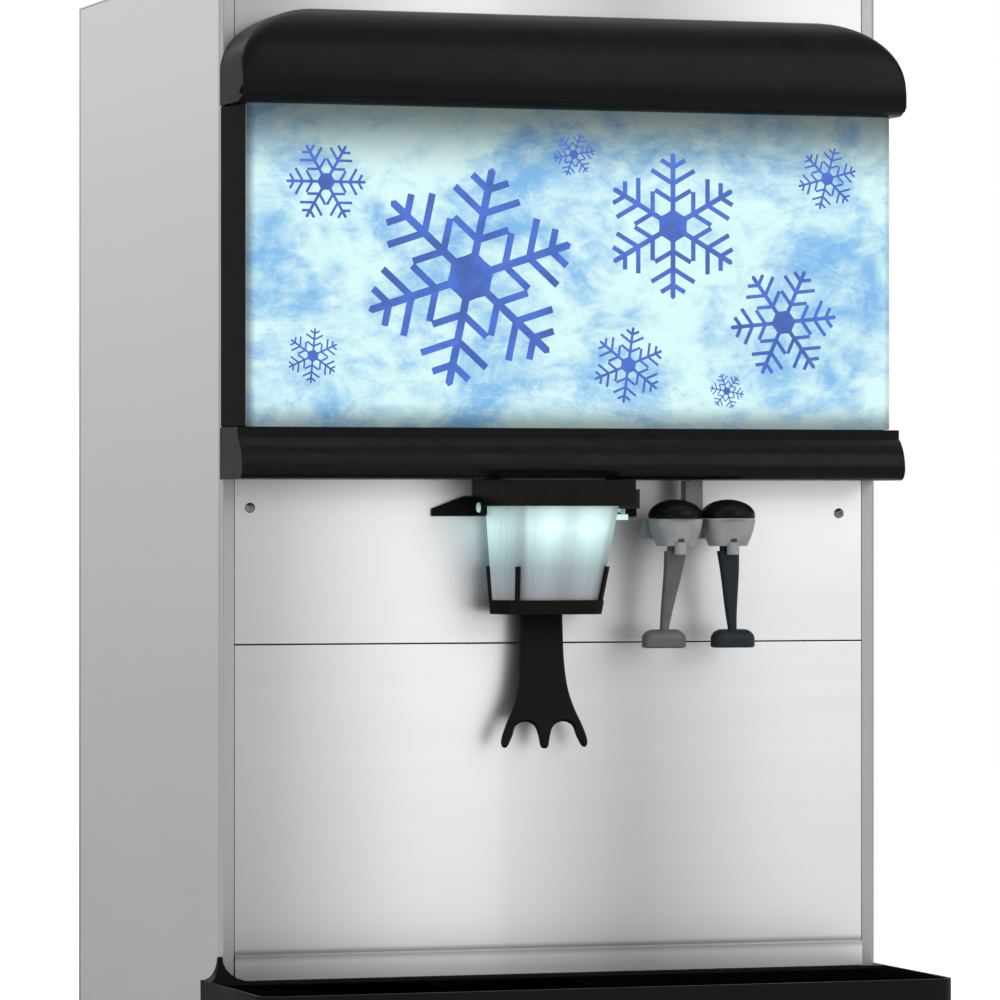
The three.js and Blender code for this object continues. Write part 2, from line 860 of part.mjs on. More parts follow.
// Drive: everything on the wheel's axis, in a group whose origin is on the tub's front face
const drive = groupAt(machine, axisX, tubFront, axisZ);
const boreRadius = shaft.radius + shaft.running;
const bushBack = hopper.wall + gap + bush.flangeThickness;
const bushNose = hopper.wall + gap;
const shaftBearing = cut(
  joined(
    rod(bush.radius, bush.noseOut, bushNose + overrun / 2, "y", [0, 0, 0]),
    rod(bush.flangeRadius, bushNose, bushBack, "y", [0, 0, 0]),
  ),
  rod(boreRadius, -overrun, bushBack + overrun, "y", [0, 0, 0]),
);
piece(drive, "shaft_bearing", shaftBearing, "brass");

const wheelFront = bushBack + wheelWeb.frontGap;
const wheelBack = wheelFront + wheel.length;
const paddles = Array.from({ length: wheel.paddles }, (_, i) => {
  const half = wheel.paddle / 2;
  const outline = [
    [wheel.hubRadius / 2, wheelFront],
    [wheel.radius, wheelFront],
    [wheel.radius, wheelBack - wheel.length / 4],
    [wheel.radius * wheel.tipShare, wheelBack],
    [wheel.hubRadius / 2, wheelBack],
  ];
  const blade = prismShape(outline, "z", -half, half);
  return toSolid(blade.rotateY((2 * Math.PI * i) / wheel.paddles));
});
const paddleWheel = cut(
  joined(
    rod(wheel.hubRadius, wheelFront, wheelBack, "y", [0, 0, 0]),
    rod(wheel.webRadius, wheelBack - wheelWeb.thickness, wheelBack, "y", [0, 0, 0], tube.roundSides),
    ...paddles,
  ),
  rod(boreRadius, wheelFront - overrun, wheelBack + overrun, "y", [0, 0, 0]),
);
piece(drive, "paddle_wheel", paddleWheel, "white");

const barMiddle = agitator.setback;
const agitatorBar = cut(
  joined(
    rod(
      agitator.hubRadius,
      barMiddle - agitator.hubLength / 2,
      barMiddle + agitator.hubLength / 2,
      "y",
      [0, 0, 0],
    ),
    rod(agitator.rodRadius, -agitator.reach, agitator.reach, "x", [0, barMiddle, 0], tube.sides),
    ...both.map((side) =>
      rod(
        agitator.rodRadius,
        barMiddle - agitator.fingerLength / 2,
        barMiddle + agitator.fingerLength / 2,
        "y",
        [side * agitator.reach, 0, 0],
        tube.sides,
      ),
    ),
  ),
  rod(boreRadius, barMiddle - agitator.hubLength, barMiddle + agitator.hubLength, "y", [0, 0, 0]),
);
piece(drive, "agitator_bar", agitatorBar, "stainless");
const shaftTail = shaftEnd - tubFront - (hopper.bossLength - shaft.pocketDepth);
piece(
  drive,
  "drive_shaft",
  rod(shaft.radius, -shaft.noseLength, shaftTail, "y", [0, 0, 0]),
  "steel",
);

const boxBack = -foam.frontThickness - gap;
const boxFront = boxBack - gearbox.depth;
const gearboxOutline = rounded(
  oblong(-gearbox.width / 2, gearbox.width / 2, -gearbox.height / 2, gearbox.height / 2),
  gearbox.corner,
  2,
);
const gearCase = cut(
  joined(
    prism(gearboxOutline, "y", boxFront, boxBack),
    rod(gearbox.bossRadius, boxBack - overrun, -gap, "y", [0, 0, 0]),
  ),
  rod(boreRadius, boxBack - gearbox.boreDepth, overrun, "y", [0, 0, 0]),
);
piece(drive, "gearbox", gearCase, "castGrey");
const motorTop = -gearbox.height / 2 - gap;
const motorProfile = [
  [0, motorTop - motor.length],
  [motor.capRadius, motorTop - motor.length],
  [motor.radius, motorTop - motor.length + motor.capLength],
  [motor.radius, motorTop - motor.capLength],
  [motor.capRadius, motorTop],
  [0, motorTop],
];
piece(drive, "drive_motor", turned(motorProfile, "z", [0, boxBack - motor.offset, 0]), "motor");

// Sign, in a group whose origin is at the middle of that hanging plane against the front panels
const signGroup = groupAt(machine, 0, front, rail);
const signHalf = halfWidth;
const lensLow = sign.lensBottom;
const lensHigh = sign.lensTop;
const lipEdge = -sign.lensDepth - sign.edgeOut;

// The curve of a moulded lip, from its edge to where it is upright at its fullest depth.
function lipCurve(edge, full) {
  const rise = full[1] - edge[1];
  const out = edge[0] - full[0];
  const radius = (out * out + rise * rise) / (2 * out);
  const centre = [full[0] + radius, full[1]];
  const start = Math.atan2(edge[1] - centre[1], edge[0] - centre[0]);
  return arc(centre, radius, start, Math.sign(start) * Math.PI, 5);
}
const railBelly = sign.railLow + sign.railCorner;
const railOutline = [
  [-gap, sign.railLow],
  [-gap, lensLow],
  [lipEdge, lensLow],
  ...lipCurve([lipEdge, lensLow - sign.railStrip], [-sign.depth, railBelly]).slice(0, -1),
  ...arc(
    [-sign.depth + sign.railCorner, railBelly],
    sign.railCorner,
    Math.PI,
    Math.PI * 1.5,
    4,
  ),
];
const lensBack = -sign.lensDepth + sign.lensThickness;
const stripBack = lensBack + sign.lensHold;
const railFloor = sign.railLow + sign.wall;
const chuteOffset = [chute.aside, 0, 0];
const signRail = cut(
  prism(railOutline, "x", -signHalf, signHalf),
  block(
    -signHalf + sign.wall,
    signHalf - sign.wall,
    lipEdge + sign.wall,
    overrun,
    railFloor,
    lensLow - sign.wall,
  ),
  block(-signHalf + sign.wall, signHalf - sign.wall, stripBack, overrun, railFloor, lensLow + overrun),
  throatSolid(throat.wall + gap, chuteOffset),
  rod(line.radius + gap * 2, -overrun, lensLow, "z", [
    water.aside,
    -water.depth + valve.depth / 2 + manifold.postDepth / 2 + gap,
    0,
  ]),
);
piece(signGroup, "sign_rail", signRail, "black");

// The hood: its outline seen from the front and its profile seen from the side, crossed. Its inside
// is the same shape drawn in by a wall.
function hoodSolid(wall) {
  const half = signHalf - wall;
  const width = sign.shoulderWidth - wall;
  const shoulder = sign.hoodTop - sign.shoulderHeight;
  const low = wall ? lensHigh - overrun : lensHigh;
  const hoodBack = wall ? overrun : -gap;
  const quarter = (side) =>
    Array.from({ length: tube.bowSteps + 1 }, (_, i) => {
      const angle = (Math.PI / 2) * (i / tube.bowSteps);
      const x = half - width * (1 - Math.cos(angle));
      return [side * x, shoulder + (sign.shoulderHeight - wall) * Math.sin(angle)];
    });
  const elevation = [[-half, low], [half, low], ...quarter(1), ...quarter(-1).reverse()];
  const lipTop = lensHigh + sign.hoodLip;
  const rise = sign.hoodTop - wall - lipTop;
  const crown = sign.hoodDepth - wall - sign.crownSetback;
  const bow = Array.from({ length: tube.bowSteps + 1 }, (_, i) => {
    const angle = (Math.PI / 2) * (i / tube.bowSteps);
    return [-sign.crownSetback - crown * Math.cos(angle), lipTop + rise * Math.sin(angle)];
  });
  const lip = lipCurve([lipEdge, lensHigh], [-sign.hoodDepth, lipTop]).slice(0, -1);
  const profile = [
    ...(wall ? [[lipEdge + wall, low]] : lip),
    ...bow,
    [hoodBack, sign.hoodTop - wall - sign.crownFall],
    [hoodBack, low],
  ];
  return prism(elevation, "y", -sign.hoodDepth - overrun, hoodBack).intersect(
    prism(profile, "x", -signHalf - overrun, signHalf + overrun),
  );
}
piece(signGroup, "sign_hood", cut(hoodSolid(0), hoodSolid(sign.wall)), "black");

// The side frames spread from the lens's ends back to the sign's ends, behind the lens.
const lensHalf = signHalf - sign.lensInset;
const frameInner = lensHalf - sign.frameWidth;
for (const [name, side] of [
  ["sign_frame_left", -1],
  ["sign_frame_right", 1],
]) {
  const outline = [
    [frameInner, -gap],
    [signHalf - sign.frameInset, -gap],
    [lensHalf - sign.frameEdge, lensBack + gap],
    [frameInner, lensBack + gap],
  ].map(([x, y]) => [side * x, y]);
  piece(signGroup, name, prism(outline, "z", lensLow + gap, lensHigh - gap), "black");
}
piece(
  signGroup,
  "sign_lens",
  block(-lensHalf, lensHalf, -sign.lensDepth, lensBack, lensLow + gap, lensHigh - gap),
  "lens",
);
const trayEnd = frameInner - gap;
const reflectorLow = lensLow + reflector.frontGap;
const reflectorHigh = lensHigh - reflector.frontGap;
const signTray = cut(
  block(-trayEnd, trayEnd, -gap - reflector.flange, -gap, reflectorLow, reflectorHigh),
  block(
    -trayEnd - overrun,
    trayEnd + overrun,
    -gap - reflector.flange - overrun,
    -gap - reflector.sheet,
    reflectorLow + reflector.sheet,
    reflectorHigh - reflector.sheet,
  ),
);
piece(signGroup, "sign_tray", signTray, "white");
const lampMiddle = (lensLow + lensHigh) / 2;
const lampHeights = {
  lower: lampMiddle - lamp.spacing / 2,
  upper: lampMiddle + lamp.spacing / 2,
};
const holderOuter = trayEnd - lamp.holderInset;
const holderInner = holderOuter - lamp.holder;
for (const [where, height] of Object.entries(lampHeights)) {
  const ends = holderInner - gap;
  piece(
    signGroup,
    "lamp_" + where,
    rod(lamp.radius, -ends, ends, "x", [0, -lamp.depth, height], tube.sides),
    "lampGlass",
  );
}
for (const [where, side] of [
  ["left", -1],
  ["right", 1],
]) {
  const outline = oblong(
    holderInner,
    holderOuter,
    -lamp.depth - lamp.radius,
    -gap - reflector.sheet - gap,
  ).map(([x, y]) => [side * x, y]);
  const margin = lamp.radius + lamp.holderMargin;
  piece(
    signGroup,
    "lamp_holder_" + where,
    prism(outline, "z", lampHeights.lower - margin, lampHeights.upper + margin),
    "white",
  );
}
piece(
  signGroup,
  "lamp_driver",
  block(
    signHalf - driver.endMargin - driver.width,
    signHalf - driver.endMargin,
    sheet + gap,
    sheet + gap + driver.depth,
    driver.up,
    driver.up + driver.height,
  ),
  "motor",
);

// Throat and gate, chute, lever and bracket, in a group under the sign at the chute's centre
const chuteGroup = groupAt(machine, ...chutePlace);
const throatTrim = block(
  -bracket.wingHalf,
  bracket.wingHalf,
  -sign.depth * 2,
  hopper.frontBay - gap,
  -throat.outletDrop,
  sign.hoodTop,
);
const throatInner = throatOutline().map(([y, z], i) => {
  if (i < 2) return [y + overrun, z];
  return i > 3 ? [y, z - overrun] : [y, z];
});
const gateY = -gate.depth;
const dropThroat = cut(
  throatSolid(throat.wall, [0, 0, 0]).intersect(throatTrim),
  prism(throatInner, "x", -throat.halfWidth, throat.halfWidth),
  rod(
    gate.axleRadius + gate.running,
    -throat.halfWidth - throat.wall - overrun,
    throat.halfWidth + throat.wall + overrun,
    "x",
    [0, gateY, gate.axleHeight],
    tube.sides,
  ),
);
piece(chuteGroup, "drop_throat", dropThroat, "liner");

const gateHalf = throat.halfWidth - gate.sideGap;
const axleHalf = throat.halfWidth + throat.wall + gate.axleReach;
const iceGate = joined(
  block(
    -gateHalf,
    gateHalf,
    gateY - gate.thickness / 2,
    gateY + gate.thickness / 2,
    gate.axleHeight - gate.length,
    gate.axleHeight,
  ),
  rod(gate.axleRadius, -axleHalf, axleHalf, "x", [0, gateY, gate.axleHeight], tube.sides),
);
piece(chuteGroup, "ice_gate", iceGate, "stainless");

const chuteLength = chute.bottom - chute.top;
const ribOutline = (x) => {
  const half = chute.rib / 2;
  const level = (drop) => {
    const loop = chuteLoop(drop, 0);
    const frontY = Math.min(...loop.map((p) => p[1]));
    const spreadShare = chuteSpread(drop) / chuteSpread(chute.top);
    return oblong(
      x * spreadShare - half,
      x * spreadShare + half,
      frontY - chute.ribStand,
      frontY + chute.wall / 2,
    ).map(([px, py]) => [px, py, -drop]);
  };
  return loft([level(chute.bottom), level(chute.top + chuteLength / 5)]);
};
function chuteSpread(drop) {
  const share = (drop - chute.top) / chuteLength;
  return chute.topFrontHalf + (chute.bottomFrontHalf - chute.topFrontHalf) * share;
}
const ribPitch = (chute.topFrontHalf * 2 - chute.corner * 2) / chute.ribs;
const pinPlace = [0, -trunnion.depth, -trunnion.drop];
const chutePin = (from, to) => rod(trunnion.radius, from, to, "x", pinPlace);
const trunnionRoot = chute.topFrontHalf;
const chutePassage = chuteLoft(chute.bottom + overrun, chute.top - overrun, -chute.wall);
const chuteShell = cut(
  joined(
    chuteLoft(chute.bottom, chute.top, 0),
    ...spread(chute.ribs, ribPitch).map(ribOutline),
    chutePin(-trunnion.leftReach, -trunnionRoot),
    chutePin(trunnionRoot, trunnion.rightReach),
    block(
      chute.bottomFrontHalf,
      lug.reach,
      -lug.depth - lug.width / 2,
      -lug.depth + lug.width / 2,
      -lug.drop - lug.thickness,
      -lug.drop,
    ),
  ),
  chutePassage,
);
piece(chuteGroup, "chute_shell", chuteShell, "clear");

// The cradle under the chute with its corner posts, and the push lever that hangs from it
const cradleBottom = chute.bottom + gap + cradle.drop;
const postTop = chute.bottom - cradle.postRise;
const window = (x0, x1, y0, y1) => block(x0, x1, y0, y1, -chute.bottom - gap, -postTop + overrun);
const cradleMiddle = -(chute.bottomBack + chute.bottomFront) / 2;
const cradleDeep = (chute.bottomFront - chute.bottomBack) / 2 - cradle.postWidth;
const cradleShell = cut(
  chuteLoft(cradleBottom, postTop, cradle.wall),
  chuteLoft(chute.bottom + gap, postTop - overrun, gap),
  chuteLoft(cradleBottom + overrun, chute.bottom - overrun, cradle.passage - chute.wall),
  window(
    cradle.postWidth - chute.bottomFrontHalf,
    chute.bottomFrontHalf - cradle.postWidth,
    -chute.topFront * 2,
    chute.topBack,
  ),
  window(
    -chute.topBackHalf * 2,
    chute.topBackHalf * 2,
    cradleMiddle - cradleDeep,
    cradleMiddle + cradleDeep,
  ),
);
const leverTop = -cradleBottom + cradle.drop / 2;
const leverTip = -cradleBottom - lever.length + cradle.drop;
const at = (drop) => -chute.bottom - drop;
const prongRoot = leverTip + lever.scallopRise;
const scallop = (from, to) => {
  const middle = (from + to) / 2;
  const radius = (to - from) / 2;
  const lift = lever.scallopRise - radius;
  return [
    [from, leverTip],
    ...arc([middle, leverTip + lift], radius, Math.PI, 0, 5),
    [to, leverTip],
  ];
};
const prongHalf = lever.prongWidth / 2;
const leverOutline = [
  [lever.topHalf, leverTop],
  [-lever.topHalf, leverTop],
  [-lever.waistHalf, at(lever.waistDrop)],
  [-lever.flareHalf, at(lever.flareDrop)],
  [-lever.rootHalf, at(lever.rootDrop)],
  [-lever.prongHalf, leverTip],
  ...scallop(-lever.prongHalf + lever.prongWidth, -prongHalf),
  ...scallop(prongHalf, lever.prongHalf - lever.prongWidth),
  [lever.prongHalf, leverTip],
  [lever.rootHalf, at(lever.rootDrop)],
  [lever.flareHalf, at(lever.flareDrop)],
  [lever.waistHalf, at(lever.waistDrop)],
];
const leverBack = -chute.bottomBack - lever.thickness / 8 + cradle.passage;
const leaning = new THREE.Matrix4().set(
  1, 0, 0, 0,
  0, 1, lever.leanShare, -lever.leanShare * leverTop,
  0, 0, 1, 0,
  0, 0, 0, 1,
);
const leverRib = (x, low) =>
  prismShape(
    oblong(x - lever.ribWidth / 2, x + lever.ribWidth / 2, low, leverTop),
    "y",
    leverBack - lever.thickness / 2,
    leverBack + lever.ribDepth,
  ).applyMatrix4(leaning);
const leverPlate = prismShape(leverOutline, "y", leverBack - lever.thickness, leverBack);
const chuteLever = joined(
  cradleShell,
  toSolid(leverPlate.applyMatrix4(leaning)),
  ...[-1, 0, 1].map((side) =>
    toSolid(leverRib(side * (lever.topHalf - lever.ribWidth / 2), prongRoot + lever.scallopRise / 3)),
  ),
);
piece(chuteGroup, "chute_lever", chuteLever, "leverBlack");

const armOuter = bracket.armInner + bracket.arm;
const armFront = -chute.topFront - bracket.barGap - bracket.arm;
const armTop = sign.railLow - gap; // the arms and the bar close up to the sign's rail
const wing = [
  [-bracket.wingHalf, -bracket.plateBottom],
  [bracket.wingHalf, -bracket.plateBottom],
  [bracket.wingHalf, -bracket.wingTop],
  [bracket.wingShoulder, -bracket.plateTop],
  [-bracket.wingShoulder, -bracket.plateTop],
  [-bracket.wingHalf, -bracket.wingTop],
];
const chuteBracket = cut(
  joined(
    prism(wing, "y", -gap - bracket.plate, -gap),
    ...both.map((side) => {
      const inner = side * bracket.armInner;
      const outer = side * armOuter;
      const [x0, x1] = [Math.min(inner, outer), Math.max(inner, outer)];
      const profile = rounded(
        [
          [armFront, -bracket.armDrop],
          [-trunnion.depth - bracket.earHalf, -bracket.armDrop],
          [-trunnion.depth - bracket.earHalf, -bracket.earDrop],
          [-gap - bracket.plate / 2, -bracket.earDrop],
          [-gap - bracket.plate / 2, armTop],
          [armFront, armTop],
        ],
        [0, 0, bracket.arm, 0, 0, 0],
        3,
      );
      return prism(profile, "x", x0, x1);
    }),
    block(-armOuter, armOuter, armFront, armFront + bracket.arm, -bracket.armDrop, armTop),
  ),
  rod(trunnion.radius + trunnion.running, -armOuter - overrun, armOuter + overrun, "x", pinPlace),
  throatSolid(throat.wall + gap, [0, 0, 0]),
);
piece(chuteGroup, "chute_bracket", chuteBracket, "black");

const microBack = -micro.setback;
const plungerPlace = [lug.reach - plunger.radius * 1.5, -lug.depth, 0];
const microswitch = cut(
  block(
    armOuter + gap,
    armOuter + gap + micro.width,
    microBack - micro.depth,
    microBack,
    -gap - micro.height,
    -gap,
  ),
  rod(
    plunger.radius + plunger.running,
    -gap - micro.height - overrun,
    -gap - micro.height + micro.bore,
    "z",
    plungerPlace,
  ),
);
piece(chuteGroup, "microswitch", microswitch, "motor");
piece(
  chuteGroup,
  "switch_plunger",
  rod(plunger.radius, -lug.drop + gap, -gap - micro.height + plunger.inside, "z", plungerPlace),
  "white",
);

// The return spring round the right trunnion: one leg bears up on the sign's rail, one hangs down
const springStart = armOuter + gap + spring.wire;
const springBack = -trunnion.depth + spring.coilRadius;
const springSteps = spring.turns * spring.stepsPerTurn;
const springCoil = Array.from({ length: springSteps + 1 }, (_, i) => {
  const turns = i / spring.stepsPerTurn;
  const angle = 2 * Math.PI * turns;
  return [
    springStart + spring.pitch * turns,
    -trunnion.depth + spring.coilRadius * Math.cos(angle),
    -trunnion.drop + spring.coilRadius * Math.sin(angle),
  ];
});
const springEnd = springStart + spring.pitch * spring.turns;
const springRoute = [
  [springStart, springBack, -trunnion.drop - spring.leg],
  ...springCoil,
  [springEnd, springBack, sign.railLow - gap - spring.wire],
];
piece(chuteGroup, "chute_spring", bar(springRoute, spring.wire, spring.sides), "steel");
const springGap = selfGap(springRoute, spring.wire, spring.stepsPerTurn / 2);
console.log("chute_spring: least gap to itself " + springGap.toFixed(2) + " mm");

// Water station, in a group under the sign midway between its two valves
const waterGroup = groupAt(machine, water.aside, front - water.depth, rail);
const valveBack = valve.depth / 2;
const barBack = valveBack + gap + manifold.barDepth;
const postBack = valveBack + gap + manifold.postDepth;
const linkMiddle = valveBack + gap + manifold.postDepth / 2;
const linkHalf = water.spacing / 2 + valve.width / 2;
const waterManifold = cut(
  joined(
    block(
      -linkHalf,
      linkHalf,
      valveBack + gap,
      barBack,
      -manifold.barTop - manifold.barHeight,
      -manifold.barTop,
    ),
    block(
      -manifold.postWidth / 2,
      manifold.postWidth / 2,
      valveBack + gap,
      postBack,
      -manifold.barTop - manifold.barHeight,
      sign.railLow - gap,
    ),
  ),
  rod(line.radius + gap, -gap - manifold.socket, sign.railLow + overrun, "z", [0, linkMiddle, 0]),
);
piece(waterGroup, "water_manifold", waterManifold, "leverBlack");

for (const [where, side] of [
  ["left", -1],
  ["right", 1],
]) {
  const valveGroup = groupAt(waterGroup, (side * water.spacing) / 2, 0, 0);
  const half = valve.width / 2;
  const bodyOutline = rounded(oblong(-half, half, -valveBack, valveBack), valve.corner, 3);
  const nozzlePlace = [0, -valveBack + valve.nozzleRadius + valve.nozzleForward - valve.corner / 2, 0];
  const body = cut(
    joined(
      prism(bodyOutline, "z", -valve.bottom, -valve.top),
      rod(
        valve.nozzleRadius,
        -valve.bottom - valve.nozzleDrop,
        -valve.bottom + overrun,
        "z",
        nozzlePlace,
        tube.sides,
      ),
    ),
    block(
      -valve.slotHalf,
      valve.slotHalf,
      -valve.slotDepth / 4,
      valveBack + overrun,
      -valve.bottom - overrun,
      -valve.slotTop,
    ),
    rod(
      valve.nozzleBore,
      -valve.bottom - valve.nozzleDrop - overrun,
      -valve.bottom + overrun * 2,
      "z",
      nozzlePlace,
      tube.sides,
    ),
  );
  piece(valveGroup, "valve_body_" + where, body, "grey");

  const capLow = -valve.top + gap;
  const capDome = Array.from({ length: tube.bowSteps }, (_, i) => {
    const angle = (Math.PI / 2) * (i / tube.bowSteps);
    return [cap.radius * Math.cos(angle), capLow + cap.brim + (cap.height - cap.brim) * Math.sin(angle)];
  });
  const capProfile = [
    [0, capLow],
    [cap.radius - cap.brimChamfer, capLow],
    [cap.radius, capLow + cap.brimChamfer],
    ...capDome,
    [0, capLow + cap.height],
  ];
  piece(valveGroup, "valve_cap_" + where, turned(capProfile, "z", [0, 0, 0]), "black");

  const padX = side * pusher.splay;
  const armLoop = (drop, x, y, halfX, halfY) =>
    oblong(x - halfX, x + halfX, y - halfY, y + halfY).map(([px, py]) => [px, py, -drop]);
  const padLoop = (drop, draw) => {
    const outline = oblong(-pusher.padHalf, pusher.padHalf, -pusher.padDeep, pusher.padDeep);
    return grown(rounded(outline, pusher.padCorner, 3), -draw).map(([px, py]) => [
      padX + px,
      pusher.setback + py,
      -drop,
    ]);
  };
  const pusherLow = pusher.padDrop + pusher.padHeight;
  const waterLever = joined(
    rod(pusher.hubRadius, -pusher.hubHalf, pusher.hubHalf, "x", [0, 0, -pusher.pivotDrop], tube.sides),
    block(
      -pusher.hubHalf,
      pusher.hubHalf,
      -pusher.topDeep + gap,
      pusher.topDeep - gap,
      -pusher.shoulderDrop - overrun,
      -pusher.pivotDrop,
    ),
    loft([
      armLoop(pusher.padDrop + overrun, padX, pusher.setback, pusher.lowHalf, pusher.lowDeep),
      armLoop(pusher.shoulderDrop, 0, 0, pusher.topHalf, pusher.topDeep),
    ]),
    loft([
      padLoop(pusherLow, 0),
      padLoop(pusherLow - pusher.padRim, 0),
      padLoop(pusher.padDrop, pusher.domeDraw),
    ]),
  );
  piece(valveGroup, "water_lever_" + where, waterLever, "leverBlack");
}

// The water line: up through the base pan, over the sign's rail and down into the manifold
const lineTop = rail + line.rise;
const bayY = front + line.bay;
const lineEnd = front - water.depth + linkMiddle;
const linePoints = [
  [bayY, base - line.tail],
  ...arc([bayY - line.bow, lineTop - line.bow], line.bow, 0, Math.PI / 2, 4),
  ...arc([lineEnd + line.bow, lineTop - line.bow], line.bow, Math.PI / 2, Math.PI, 4),
  [lineEnd, rail - manifold.socket],
].map(([y, z]) => [water.aside, y, z]);
const waterLine = joined(
  bar(linePoints, line.radius, tube.sides),
  turned(
    [
      [0, base - line.tail - line.nutHeight / 3],
      [line.nutRadius, base - line.tail - line.nutHeight / 3],
      [line.nutRadius, base - line.tail + line.nutHeight / 3],
      [0, base - line.tail + line.nutHeight / 3],
    ],
    "z",
    [...linePlace, 0],
    6,
  ),
);
piece(machine, "water_line", waterLine, "steel");

// Electrics: control box and cover on the base pan, cord gland under it, rocker switch on the side
const boxLeft = water.aside + box.lineMargin;
const boxRight = panHalf - box.sideMargin;
const boxLow = base + pan.sheet + gap;
const boxY = panFront + pan.sheet + box.front;
const controlBox = cut(
  block(boxLeft, boxRight, boxY, boxY + box.depth, boxLow, boxLow + box.height),
  block(
    boxLeft + box.wall,
    boxRight - box.wall,
    boxY - overrun,
    boxY + box.depth - box.wall,
    boxLow + box.wall,
    boxLow + box.height - box.wall,
  ),
);
piece(machine, "control_box", controlBox, "galvanised");
const coverFront = boxY - gap - box.wall;
const boxCover = joined(
  block(boxLeft, boxRight, coverFront, boxY - gap, boxLow, boxLow + box.height),
  block(
    boxLeft + box.wall + gap,
    boxRight - box.wall - gap,
    coverFront,
    boxY + box.lip,
    boxLow + box.height - box.wall * 2 - gap,
    boxLow + box.height - box.wall - gap,
  ),
);
piece(machine, "control_box_cover", boxCover, "galvanised");
const glandLow = base - gap - gland.flange;
const glandHigh = base + pan.sheet + gap + gland.flange;
const cordGland = turned(
  [
    [gland.bore, glandLow],
    [gland.flangeRadius, glandLow],
    [gland.flangeRadius, base - gap],
    [gland.radius, base - gap],
    [gland.radius, base + pan.sheet + gap],
    [gland.flangeRadius, base + pan.sheet + gap],
    [gland.flangeRadius, glandHigh],
    [gland.bore, glandHigh],
    [gland.bore, glandLow],
  ],
  "z",
  [...glandPlace, 0],
  tube.fineSides,
);
piece(machine, "cord_gland", cordGland, "rubber");

const switchGroup = groupAt(machine, halfWidth, front + rocker.setback, base + rocker.height);
const pocketWide = rocker.width / 2 + bezel.sideGap;
const pocketDeep = rocker.root + rocker.crown / 2 + bezel.wall;
const switchBezel = cut(
  joined(
    block(gap, gap + bezel.plate, -bezel.halfWidth, bezel.halfWidth, -bezel.half, bezel.half),
    block(
      -bezel.barrelDepth,
      gap + bezel.plate / 2,
      -pocketWide - bezel.wall,
      pocketWide + bezel.wall,
      -bezel.pocketHalf - bezel.wall,
      bezel.pocketHalf + bezel.wall,
    ),
  ),
  block(-pocketDeep, overrun * 2, -pocketWide, pocketWide, -bezel.pocketHalf, bezel.pocketHalf),
);
piece(switchGroup, "switch_bezel", switchBezel, "black");
const rockerGroup = groupAt(switchGroup, 0, 0, 0);
rockerGroup.rotation.y = THREE.MathUtils.degToRad(-rocker.tilt);
const rockerOutline = [
  [rocker.crown, rocker.half],
  [0, rocker.half],
  ...arc([0, 0], rocker.root, Math.PI * 0.75, Math.PI * 1.25, 3),
  [0, -rocker.half],
  [rocker.crown, -rocker.half],
  [rocker.crown - rocker.dish, 0],
];
piece(
  rockerGroup,
  "power_rocker",
  prism(rockerOutline, "y", -rocker.width / 2, rocker.width / 2),
  "leverBlack",
);

// Drip tray and its grid, in a group at the middle of the tray's rim against the front panels
const trayGroup = groupAt(machine, 0, front, rim);
const trayHalf = halfWidth + tray.overhang;
const trayOutline = rounded(
  oblong(-trayHalf, trayHalf, -tray.reach, -gap),
  [tray.corner, tray.corner, 0, 0],
  4,
);
const trayFloor = -tray.height + tray.wall;
const ledgeTop = -tray.gridDrop;
const basinOutline = grown(trayOutline, -tray.wall);
const wingInner = halfWidth + gap;
const wingOutline = (tops) => [[-trayHalf, -tray.height], ...tops, [-wingInner, -tray.height]];
const curl = (low, high) =>
  arc([0, 0], 1, 0, Math.PI / 2, tube.bowSteps).map(([cosine, sine]) => [
    low + (high - low) * sine,
    tray.curlRise * (1 - cosine),
  ]);
const outerCurl = curl(-trayHalf, -wingInner - tray.curlTip);
const frontCurl = curl(-wingInner + tray.curlReach, -wingInner + tray.curlTip).reverse();
const backCurl = curl(tray.wrap, tray.curlTip);
const behindCurl = [
  ...backCurl,
  [tray.curlTip, tray.curlRise + overrun],
  [tray.wrap + overrun, tray.curlRise + overrun],
  [tray.wrap + overrun, 0],
];
const trayWings = [
  cut(
    prism(wingOutline([...outerCurl, [-wingInner, tray.curlRise]]), "y", -gap - tray.wall, tray.wrap),
    prism(behindCurl, "x", -trayHalf - overrun, -wingInner + overrun),
  ),
  prism(
    [[-trayHalf, -tray.wall], ...outerCurl, ...frontCurl, [-wingInner + tray.curlReach, -tray.wall]],
    "y",
    -gap - tray.wall,
    -gap,
  ),
  block(wingInner, trayHalf, -gap - tray.wall, tray.wrap, -tray.height, 0),
];
const spigotPlace = [0, -tray.reach / 2, 0];
const dripTray = cut(
  joined(
    prism(trayOutline, "z", -tray.height, 0),
    ...trayWings,
    rod(
      tray.spigotRadius,
      -tray.height - tray.spigotDrop,
      trayFloor - tray.wall / 2,
      "z",
      spigotPlace,
      tube.fineSides,
    ),
  ),
  prism(basinOutline, "z", ledgeTop, overrun),
  prism(grown(basinOutline, -tray.ledge), "z", trayFloor, overrun),
  block(
    cabinet.cornerFlange - halfWidth,
    tray.curlReach - halfWidth,
    -cabinet.hemStep - gap,
    0,
    0,
    tray.curlRise,
  ),
  rod(tray.spigotBore, -tray.height - tray.spigotDrop - overrun, trayFloor + overrun, "z", spigotPlace),
);
piece(trayGroup, "drip_tray", dripTray, "black");

